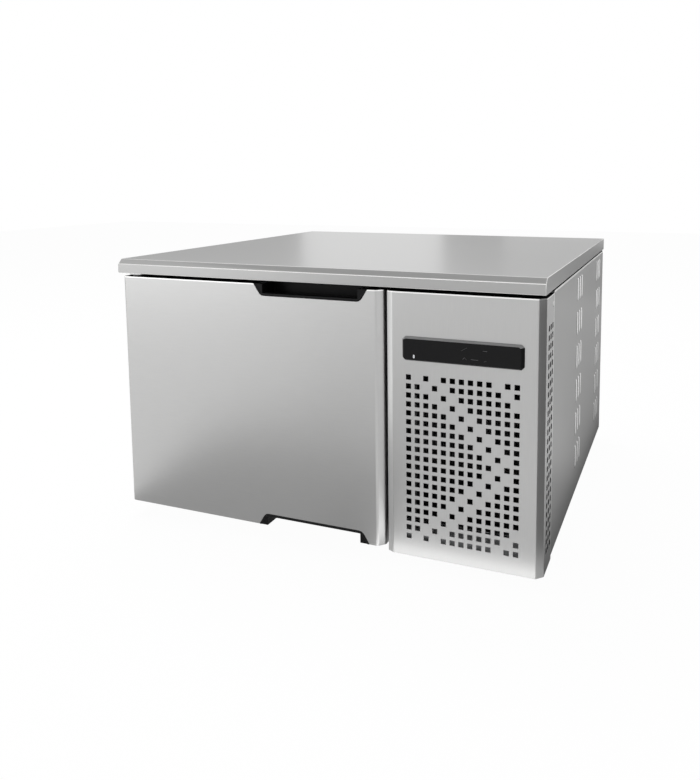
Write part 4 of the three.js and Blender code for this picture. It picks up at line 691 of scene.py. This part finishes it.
gasketSettings = {
    "centre": (-124.0, 243.0), "half": (191.7, 154.4), "corner": -14.0, "soft": 0.7,
    "profile": [  # outset from the chamber's mouth, Y
        (24, -283.6), (24, -281.8), (20.5, -280.8), (18.6, -279.6), (20.6, -278.2), (22, -277.3), (22, -275.2),
        (21, -274.4), (9, -274.4), (8, -275.2), (8, -277.3), (9.4, -278.2), (11.4, -279.6), (9.5, -280.8),
        (6, -281.8), (6, -283.6),
    ],
}


def makeGasket(s):
    profile = softened(s["profile"], s["soft"], 3, closed=True)
    makePiece("door_seal", [ringPart(profile, s["centre"], s["half"], s["corner"])], "gasketRubber",
              ("door_gasket",), "door")


makeGasket(gasketSettings)

hingeSettings = {
    "x": -357.5, "y": -320.0, "heights": {"upper": (437.0, 1), "lower": (27.0, -1)},   # Z, and which way is out
    "pin": [(0, 4.5), (4, 4.5), (4, -11.5), (0, -11.5)],
    "bush": [(4.35, -13), (6.95, -13), (6.95, 0.3), (9.45, 0.3), (9.45, 1.2), (4.35, 1.2)],
}


def makeHinges(s):
    for name, (z, side) in s["heights"].items():
        at, pin, bush = (s["x"], s["y"], z), np.array(s["pin"]) * [1, side], np.array(s["bush"]) * [1, side]
        makeTurned(name + "_pivot_pin", "z", at, pin, 0.6, "fittingSteel", (name + "_hinge_pin",), segments=32)
        makeTurned(name + "_pivot_bush", "z", at, bush, 0.25, "fittingPlastic", (name + "_hinge_bush",), "door",
                   segments=32, closed=True)


makeHinges(hingeSettings)

handleLipSettings = {
    "mouth": [(-105.6, 437.0), (-93.5, 417.2), (85.5, 417.2), (97.6, 437.0)], "corner": 7.0, "mirrorHeight": 464.0,
    "doorTop": 437.0, "soft": 0.7,
    "section": [  # inward from the door's cut edge, Y
        (0.2, -339.2), (0.5, -340.4), (3.2, -340.8), (4.6, -340.0), (5.0, -337.0), (5.0, -331.0), (3.4, -331.0),
        (0.4, -335.5),
    ],
}


def makeHandleLips(s):
    # a closed section carried along the mouth's edge, square to it; the lower lip is its mirror image
    path = softened(s["mouth"], s["corner"], 6)
    slope = np.gradient(path, axis=0)
    slope /= np.linalg.norm(slope, axis=1)[:, None]
    inward = np.stack([-slope[:, 1], slope[:, 0]], axis=1)
    section = softened(s["section"], s["soft"], 3, closed=True)
    x, z = (path[:, None] + section[None, :, :1] * inward[:, None]).transpose(2, 0, 1)
    upper = onAxis("y", section[None, :, 1], x, np.minimum(z, s["doorTop"]))
    lower = upper * [1, 1, -1] + [0, 0, s["mirrorHeight"]]
    for name, grid in (("upper_handle_lip", upper), ("lower_handle_lip", lower)):
        makePiece(name, [gridPart(grid, wrapAcross=True, capped=True)], "handlePlastic", body="door")


makeHandleLips(handleLipSettings)
print("front pieces ready")


# turned fittings

fittingSettings = {
    "feet": {"foot_front_left": (-303.5, -214), "foot_front_right": (303.5, -214),
             "foot_rear_left": (-303.5, 288.5), "foot_rear_right": (303.5, 288.5)},
    "footProfile": [(0, 0), (19, 0), (19, 4), (11, 9), (12, 27.7), (5, 27.7), (5, 38), (0, 38)],
    "unit": (248.75, 70.0), "mounts": [(-74, -58), (74, -58), (-74, 58), (74, 58)],
    "mountProfile": [(0, 44.1), (10, 44.1), (8, 50.1), (10, 56.1), (5, 56.1), (5, 63.1), (0, 63.1)],
    "drain": (-124.0, -164.0, 0.0),
    "drainProfile": [(7, 24), (9, 24), (9, 88.9), (17, 88.9), (16, 90.9), (7, 90.9)],
    "bush": (338.0, 0.0, 68.0),
    "bushProfile": [(5, 337), (8, 337), (10.5, 346), (10.5, 347), (9, 347), (9, 348.8), (13, 348.8), (13, 349.4),
                    (12, 350), (5, 350)],
}


def makeFittings(s):
    for name, (x, y) in s["feet"].items():
        makeTurned(name + "_turned", "z", (x, y, 0), s["footProfile"], 1.2, "fittingSteel", (name,))
    for number, (dx, dy) in enumerate(s["mounts"], 1):
        at = (s["unit"][0] + dx, s["unit"][1] + dy, 0)
        makeTurned("rubber_mount_%d" % number, "z", at, s["mountProfile"], 1.5, "mountRubber",
                   ("compressor_mount_%d" % number,), segments=32)
    makeTurned("drain_outlet", "z", s["drain"], s["drainProfile"], 0.5, "fittingPlastic", ("drain_fitting",),
               segments=40, closed=True)
    makeTurned("cord_entry_bush", "y", s["bush"], s["bushProfile"], 0.3, "handlePlastic", ("cord_bush",),
               segments=40, closed=True)


makeFittings(fittingSettings)


# fans: twisted blades on a hub, motors, and the wire guard

fanSettings = {
    "fans": [
        {"at": (-124.0, 94.0, 243.0), "radius": 88.0, "hub": 20.0, "finish": "fanPlastic", "name": "evaporator_fan",
         "motor": (118.0, 32.0, 50.0, 34.0)},     # Y of its face, radius, length, reach of its shaft
        {"at": (248.75, -181.7, 169.1), "radius": 92.0, "hub": 22.0, "finish": "bladeAluminium",
         "name": "condenser_fan", "motor": (-149.7, 36.0, 54.0, 42.0)},
    ],
    "blades": 5, "bore": 4.35, "shaft": 4.0, "pitch": (0.75, 0.42), "chord": (22.0, 44.0), "camber": 3.0,
    "thickness": 1.5, "tipStart": 0.85, "sweep": 0.25, "root": 2.0, "hubHalf": 11.0, "hubBevel": 4.0, "groove": 1.2,
}


def bladePart(at, hub, tip, turn, s):
    # out runs from hub to tip and t round the section; the chord is pitched, cambered and swept,
    # and the outer corners are rounded by shortening the chord near the tip
    first = s["tipStart"]
    out = np.concatenate([np.linspace(0, first, 10), first + (1 - first) * np.sin(np.linspace(0.15, np.pi / 2, 7))])
    out, t = out[:, None], circle(28)[None]
    across, through = 0.5 * np.cos(t), 0.5 * np.sin(t) * s["thickness"]
    radius = hub - s["root"] + out * (tip - hub + s["root"])
    rounding = np.sqrt(np.clip(1 - (np.clip(out - first, 0, 1) / (1.01 - first)) ** 2, 0.02, 1))
    chord, pitch = [s[key][0] + out * (s[key][1] - s[key][0]) for key in ("chord", "pitch")]
    along = across * chord * rounding
    around = along * np.cos(pitch) - through * np.sin(pitch)
    axial = along * np.sin(pitch) + through * np.cos(pitch) + s["camber"] * (0.25 - across ** 2) * rounding
    angle = turn + around / np.maximum(radius, hub * 1.2) + s["sweep"] * out ** 2
    grid = onAxis("y", -axial, radius * np.cos(angle), radius * np.sin(angle))
    return gridPart(grid + np.asarray(at, float), wrapAcross=True, capped=True)


def makeFan(fan, s):
    at, edge, bore, shaft = fan["at"], fan["hub"], s["bore"], s["shaft"]
    half, bevel = s["hubHalf"], s["hubBevel"]
    hub = [(bore, -half), (edge - bevel, -half), (edge, bevel - half), (edge, half), (bore, half)]
    turns = 2 * np.pi * np.arange(s["blades"]) / s["blades"]
    blades = [bladePart(at, edge, fan["radius"], turn, s) for turn in turns]
    makePiece(fan["name"] + "_blades", [turnedPart("y", at, softened(hub, 1.5, closed=True), closed=True)] + blades,
              fan["finish"], (fan["name"] + "_blade",), fan["name"])
    y, radius, length, reach = fan["motor"]
    groove = radius - s["groove"]
    can = [(0, -reach), (shaft, -reach), (shaft, -2), (radius * 0.35, 0), (radius * 0.8, 0), (radius, 6),
           (radius, length * 0.42), (groove, length * 0.44), (groove, length * 0.5),
           (radius, length * 0.52), (radius, length - 6), (radius * 0.8, length), (0, length)]
    makeTurned(fan["name"] + "_motor_can", "y", (at[0], y, at[2]), can, 1.5, "machinePaint",
               (fan["name"] + "_motor",))


for fan in fanSettings["fans"]:
    makeFan(fan, fanSettings)

guardSettings = {"centre": (-124.0, 243.0), "plane": 71.9, "radius": 96.0, "rings": 8, "inner": 0.16, "wire": 1.3,
                 "spokes": 4}


def makeGuard(s):
    # rings are circles of growing radius, spokes cross them a little further forward
    (x, z), forward, angle = s["centre"], (0, 1, 0), circle(64)
    rings = [onAxis("y", s["plane"], x + radius * np.cos(angle), z + radius * np.sin(angle))
             for radius in np.linspace(s["inner"], 1, s["rings"]) * s["radius"]]
    parts = [tubePart(ring, s["wire"], 8, forward, wrap=True) for ring in rings]
    reach = np.linspace(-s["radius"], s["radius"], 5)
    for turn in (np.arange(s["spokes"]) + 0.5) * np.pi / s["spokes"]:
        spoke = onAxis("y", s["plane"] - s["wire"] * 0.6, x + reach * np.cos(turn), z + reach * np.sin(turn))
        parts.append(tubePart(spoke, s["wire"], 8, forward))
    makePiece("wire_guard", parts, "fittingSteel", ("fan_guard",))


makeGuard(guardSettings)


# coils: waved fins, straight tubes and their return bends, end plates

coilSettings = {
    "evaporator_coil": {
        "low": (-289.7, 196.7, 118.0), "high": (41.7, 276.7, 368.0), "pitch": 6.0, "tubeRows": 8, "tubePitch": 30.0,
        "tubeColumns": (212.0, 238.0, 264.0), "tube": 4.8, "plateHeights": (114.0, 397.0), "plate": (4.0, 3.0),
        "foil": "coilAluminium", "pipe": "pipeCopper",
        "stubs": [([(42, 246.7, 132), (55.7, 246.7, 132)], 3.5), ([(42, 246.7, 354), (55.7, 246.7, 354)], 6)]},
    "condenser_coil": {
        "low": (148.8, -262.0, 47.1), "high": (348.8, -218.4, 291.1), "pitch": 3.2, "tubeRows": 9, "tubePitch": 26.0,
        "tubeColumns": (-249.0, -231.0), "tube": 4.0, "plateHeights": (44.1, 294.1), "plate": (1.0, 0.4),
        # painted shade: the condenser takes the darker copies of fin and tube metal
        "foil": "shadedCondenserFoil", "pipe": "shadedCondenserTube",
        "stubs": [([(357.25, -220, 280.1), (357.25, -206, 280.1)], 4.5),
                  ([(357.25, -220, 62.1), (357.25, -206, 62.1)], 4.5),
                  ([(350, -224, 280.1), (357.25, -224, 280.1), (357.25, -219, 280.1)], 4.5),
                  ([(350, -224, 62.1), (357.25, -224, 62.1), (357.25, -219, 62.1)], 4.5)]},
}


coilForm = {   # shared by both coils
    "margin": 1.5, "swing": 0.35, "wave": 0.6, "foil": 0.25, "tubeEnds": 4.0, "bendEnds": 3.0, "bendReach": 0.8,
    "bendSlack": 0.3, "plate": 2.0,
}


def makeCoil(name, s, form):
    (x0, y0, z0), (x1, y1, z1) = s["low"], s["high"]
    # fin: a plane across the coil whose X swings a little with a sine of Y
    depth = np.linspace(y0, y1, 13)[None]
    fin = onAxis("x", form["swing"] * np.sin(depth * form["wave"]), depth, np.linspace(z0, z1, 2)[:, None])
    places = np.arange(x0 + form["margin"], x1 - form["margin"], s["pitch"])
    fins = [gridPart(one) for one in fin + places[:, None, None, None] * np.array([1.0, 0, 0])]
    addSheet(makePiece(name + "_fins", fins, s["foil"], (name,), closed=False), form["foil"])
    # tubes run straight through; each bend is half a circle between two neighbouring rows
    rows = (z0 + z1) / 2 + (np.arange(s["tubeRows"]) - (s["tubeRows"] - 1) / 2) * s["tubePitch"]
    parts, turn, radius = [], np.linspace(0, np.pi, 13), s["tubePitch"] / 2
    out, up = form["bendReach"] * radius * np.sin(turn), radius - radius * np.cos(turn)
    for column, y in enumerate(s["tubeColumns"]):
        for number, z in enumerate(rows):
            parts.append(tubePart([(x0 - form["tubeEnds"], y, z), (x1 + form["tubeEnds"], y, z)], s["tube"]))
            if number + 1 < len(rows):
                side, end = (1, x1) if (number + column) % 2 else (-1, x0)
                bend = onAxis("y", y, end + side * (form["bendEnds"] + out), z + up)
                parts.append(tubePart(bend, s["tube"] - form["bendSlack"], reference=(0, 1, 0)))
    parts += [tubePart(route, radius, 14) for route, radius in s["stubs"]]
    makePiece(name + "_tubes", parts, s["pipe"])
    (before, behind), (low, high) = s["plate"], s["plateHeights"]
    plates = [blockPart((x, y0 - before, low), (x + form["plate"], y1 + behind, high), 2, 0.3, "x")
              for x in (x0 - form["plate"], x1)]
    makePiece(name + "_plates", plates, "zincSheet")


for name, settings in coilSettings.items():
    makeCoil(name, settings, coilForm)
print("fans and coils ready")


# refrigerant lines on the CAD's own routes, drier and compressor

lineSettings = {
    "discharge_line": (4.5, [(357.25, -205.7, 280.1), (357.25, -166, 280.1), (357.25, -60, 284.1),
                             (343.25, 10, 292.1), (306.75, 56, 290.1), (288.75, 70, 276.1), (288.75, 70, 240.7)]),
    "condensate_line": (3.5, [(357.25, -205.7, 62.1), (357.25, -146, 62.1), (355.75, 0, 62.1), (355.75, 59.7, 62.1)]),
    "liquid_line": (3.5, [(355.75, 170.3, 62.1), (355.75, 186.3, 62.1), (333.75, 234.7, 70.1), (248.75, 246.7, 97.05),
                          (155.5, 246.7, 132), (124, 246.7, 132), (56, 246.7, 132)]),
    "suction_line": (6.0, [(56, 246.7, 354), (124, 246.7, 354), (151.5, 246.7, 354), (200.75, 216.7, 346),
                           (208.75, 130, 324), (208.75, 78, 290.7), (208.75, 70, 270.7), (208.75, 70, 240.7)]),
}
drierSettings = {"at": (355.75, 60, 62.1),
                 "profile": [(0, 0), (4, 0), (4, 6), (11, 16), (11, 94), (4, 104), (4, 110), (0, 110)]}
for node, (radius, route) in lineSettings.items():
    makePiece(node + "_pipe", [tubePart(smoothRoute(route), radius, 16)], "pipeCopper", (node,))
makeTurned("spun_drier", "y", drierSettings["at"], drierSettings["profile"], 4, "pipeCopper", ("filter_drier",),
           segments=40)

compressorSettings = {
    "at": (248.75, 70.0, 56.4),
    "shell": [(0, 2), (60.8, 2), (74.1, 12), (78, 30), (78, 92), (80.8, 92), (80.8, 98.6), (78, 98.6), (78, 130),
              (72.5, 152), (54.6, 169), (0, 176)],
    "rim": [(77, 91.5), (81, 92), (81, 99), (77, 99.5)],
    "plate": ((162.75, 0.0, 56.4), (334.75, 140.0, 59.9)), "cover": ((156.75, 48.0, 106.4), (182.0, 92.0, 146.4)),
    "ports": ((208.75, 6.0), (288.75, 4.5)), "portSpan": (196.4, 240.4),   # X and radius of each, Z
}


def makeCompressor(s):
    shell = turnedPart("z", s["at"], softened(s["shell"], 9), 72)
    rim = turnedPart("z", s["at"], softened(s["rim"], 0.8, closed=True), 72, True)
    parts = [shell, rim, blockPart(*s["plate"], 10, 0.6), blockPart(*s["cover"], 5, 3, "x")]
    makePiece("compressor_shell", parts, "machinePaint", ("compressor",))
    ports = [tubePart([(x, s["at"][1], z) for z in s["portSpan"]], radius, 20, (1, 0, 0)) for x, radius in s["ports"]]
    makePiece("compressor_ports", ports, "pipeCopper")


makeCompressor(compressorSettings)


# screws

screwSettings = {   # places, which way the head faces in Y, radius and rise of the head
    "rear_screws": ([(x, 348.6, z) for x in (-362.0, -120.0, 133.0, 362.0) for z in (40.0, 236.0, 431.0)],
                    1, 4.2, 1.8),
    "baffle_screws": ([(x, 73.7, z) for x in (-305.0, 57.0) for z in (104.0, 382.0)], -1, 3.6, 1.5),
    "hinge_screws": ([(x, -277.4, z) for heights in ((412.0, 423.0), (31.0, 42.0)) for x in (-364.5, -350.5)
                      for z in heights], -1, 3.4, 1.6),
}
sideScrewSettings = {"at": (373.75, -283, 422), "radius": 4.4, "rise": 1.2,
                     "shank": [(0, 362.5), (2, 363.5), (2, 373.7), (0, 373.7)]}


def makeSideScrew(s):
    x, y, z = s["at"]
    parts = [screwPart(s["at"], "x", 1, s["radius"], s["rise"]), turnedPart("x", (0, y, z), s["shank"], 24)]
    # painted highlight: the head takes the brightest steel
    screw = makePiece("side_screw_head", parts, "highlightSteel", ("side_screw",))
    # painted shade: the recess and the shadowed side of the rim are coloured black
    finishWhere(screw, "shadowBlack",
                lambda at, facing: (facing[:, 2] < -0.75) | ((facing[:, 0] > 0.9) & (at[:, 0] < x + 0.45)))


for name, (places, *form) in screwSettings.items():
    makePiece(name, [screwPart(at, "y", *form) for at in places], "fittingSteel")
makeSideScrew(sideScrewSettings)
print("lines, compressor and screws ready")


# floor, backdrop and lamps, in metres

def upright(x0, y0, x1, y1, low, high, lean=0.0):
    # corners of a card that stands between two points and two heights, its top moved by lean in Y
    return (x0, y0, low), (x1, y1, low), (x1, y1 + lean, high), (x0, y0 + lean, high)


def level(height, *corners):
    return [(x, y, height) for x, y in corners]


stageSettings = {
    "floorHalf": 7.0, "floorColour": (0.82, 0.82, 0.82, 1),
    "cameraShare": 0.97,       # share of the floor's look that is plain white, seen by the camera
    "mirrorShare": 0.35,       # the same, seen in metal and gloss
    "worldFill": 0.5,          # what the world gives to matt surfaces
    "lamps": {                 # place, width, depth, power in watts, what it points at
        "keyLamp": ((-0.9, 0.5, 3.2), 2.4, 2.4, 95, (0, 0, 0)),
        "softBox": ((-2.3, -2.6, 0.9), 2.2, 2.0, 14.7, (-0.1, -0.3, 0.25)),
    },
    "unmirrored": ("keyLamp",),   # lamps that metal and gloss don't show
    "cards": {                 # cards that only metal and gloss see: corners, brightness
        "chamferCard": (upright(0.47, -0.41, 0.46, -0.3, 0.001, 0.45), 0.16),
        "rightCard": (upright(1.15, -1.25, 1.15, -0.5, 0.001, 1.0), 1.1),
        "baseCard": (level(0.002, (0.1, -0.368), (0.4, -0.368), (0.4, -0.402), (0.1, -0.402)), 2.35),
        "backCardRight": (upright(-0.7, 2.4, 0.55, 2.2, 0.28, 1.2), 0.48),
        "backCardLow": (upright(-0.7, 2.4, 0.9, 2.2, 0.001, 0.28), 0.12),
        "edgeCard": (upright(-0.3, 2.15, 0.9, 2.15, 0.58, 0.68), 1.3),
        "frontTopCard": (upright(-0.9, -1.7, 1.2, -2.2, 1.7, 2.4, -0.2), 4.0),
        "backCardLeft": (upright(-2.5, 0.6, -1.4, 2.1, 0.001, 1.2), 0.47),
        "floorCardNear": (level(0.003, (0.376, -0.3), (0.43, -0.3), (0.43, 1.0), (0.376, 1.0)), 0.12),
        "floorCardBack": (level(0.002, (0.376, -0.3), (0.45, -0.3), (1.15, 2.1), (0.376, 2.1)), 0.4),
        "floorCardFront": (level(0.002, (-0.42, -0.36), (-0.03, -0.36), (-0.1, -0.8), (-0.5, -0.8)), 0.46),
        "floorCardGap": (level(0.002, (-0.03, -0.36), (0.09, -0.36), (0.03, -0.8), (-0.1, -0.8)), 0.42),
        "floorCardRight": (level(0.002, (-0.36, -0.86), (-0.08, -0.86), (-0.16, -1.5), (-0.5, -1.5)), 0.64),
        "floorCardNose": (level(0.002, (-1.1, -2.8), (0.7, -2.8), (0.9, -4.6), (-1.5, -4.6)), 1.3),
        "floorCardFlaps": (level(0.002, (0.46, 0.1), (0.52, 0.1), (3.4, 4.3), (2.2, 4.3)), 1.05),
        "overheadCard": (level(2.5, (-1.5, -1.8), (1.5, -1.8), (1.5, 1.2), (-1.5, 1.2)), 0.72),
    },
}


def clearedTree(owner):
    owner.use_nodes = True
    owner.node_tree.nodes.clear()
    return owner.node_tree


def flatObject(name, corners):
    # one quad with an empty material
    mesh = bpy.data.meshes.new(name)
    mesh.from_pydata(corners, [], [(0, 1, 2, 3)])
    mesh.materials.append(bpy.data.materials.new(name))
    flat = bpy.data.objects.new(name, mesh)
    bpy.context.scene.collection.objects.link(flat)
    return flat, clearedTree(mesh.materials[0])


def mixedBySight(tree, matt, white, cameraShare, mirrorShare):
    # white by cameraShare where the ray comes from the camera, by mirrorShare in a reflection or a transmission
    path = addNode(tree, "LightPath").outputs
    mirrored = mathNode(tree, "MAXIMUM", path["Is Glossy Ray"], path["Is Transmission Ray"])
    direct = mathNode(tree, "MULTIPLY", path["Is Camera Ray"], cameraShare)
    share = mathNode(tree, "MAXIMUM", direct, mathNode(tree, "MULTIPLY", mirrored, mirrorShare))
    return addNode(tree, "MixShader", {"Fac": share, 1: matt.outputs[0], 2: white.outputs[0]}).outputs[0]


def makeCards(s):
    for name, (corners, brightness) in s["cards"].items():
        card, tree = flatObject(name, corners)
        tone = addNode(tree, "Emission", {"Strength": brightness})
        addNode(tree, "OutputMaterial", {"Surface": tone.outputs[0]})
        card.visible_camera = card.visible_diffuse = card.visible_shadow = False


def makeFloor(s):
    half = s["floorHalf"]
    floor, tree = flatObject("floor", level(0, (-half, -half), (half, -half), (half, half), (-half, half)))
    matt, white = addNode(tree, "BsdfDiffuse", {"Color": s["floorColour"]}), addNode(tree, "Emission")
    look = mixedBySight(tree, matt, white, s["cameraShare"], s["mirrorShare"])
    addNode(tree, "OutputMaterial", {"Surface": look})


def makeWorld(s):
    world = bpy.context.scene.world = bpy.data.worlds.new("studio")
    tree, plainWhite = clearedTree(world), (1, 1, 1, 1)
    white = addNode(tree, "Background", {"Color": plainWhite})
    fill = addNode(tree, "Background", {"Color": plainWhite, "Strength": s["worldFill"]})
    addNode(tree, "OutputWorld", {"Surface": mixedBySight(tree, fill, white, 1.0, 1.0)})


def makeLamps(s):
    for name, (place, width, depth, power, target) in s["lamps"].items():
        data = bpy.data.lights.new(name, "AREA")
        data.shape = "RECTANGLE"
        data.size, data.size_y, data.energy = width, depth, power
        lamp = bpy.data.objects.new(name, data)
        lamp.location = place
        lamp.rotation_euler = (Vector(target) - Vector(place)).to_track_quat("-Z", "Y").to_euler()
        lamp.visible_camera = False
        lamp.visible_glossy = name not in s["unmirrored"]
        bpy.context.scene.collection.objects.link(lamp)


for makeStage in (makeCards, makeFloor, makeWorld, makeLamps):
    makeStage(stageSettings)
print("stage ready")


# camera at the photograph's angle

cameraSettings = {
    "place": (0.5596, -1.3498, 0.6077),      # metres
    "turn": (84.154, 0.227, 20.889),         # degrees: tilt from straight down, roll, turn to the left
    "focalPixels": 729.7,                    # focal length in the photograph's pixels
    "centre": (413.0, 252.3),                # where the optical axis meets the photograph
    "frame": (700, 780), "sensor": 36,
}


def makeCamera(s):
    (width, height), (across, down) = s["frame"], s["centre"]
    data = bpy.data.cameras.new("photoCamera")
    data.sensor_width = s["sensor"]
    data.lens = s["focalPixels"] * s["sensor"] / height
    data.shift_x, data.shift_y = (width / 2 - across) / height, (down - height / 2) / height
    data.clip_start, data.clip_end = 0.01, 60
    camera = bpy.data.objects.new("photoCamera", data)
    camera.location = s["place"]
    camera.rotation_euler = [math.radians(angle) for angle in s["turn"]]
    bpy.context.scene.collection.objects.link(camera)
    bpy.context.scene.camera = camera


makeCamera(cameraSettings)
bpy.context.scene.view_settings.view_transform = "Standard"
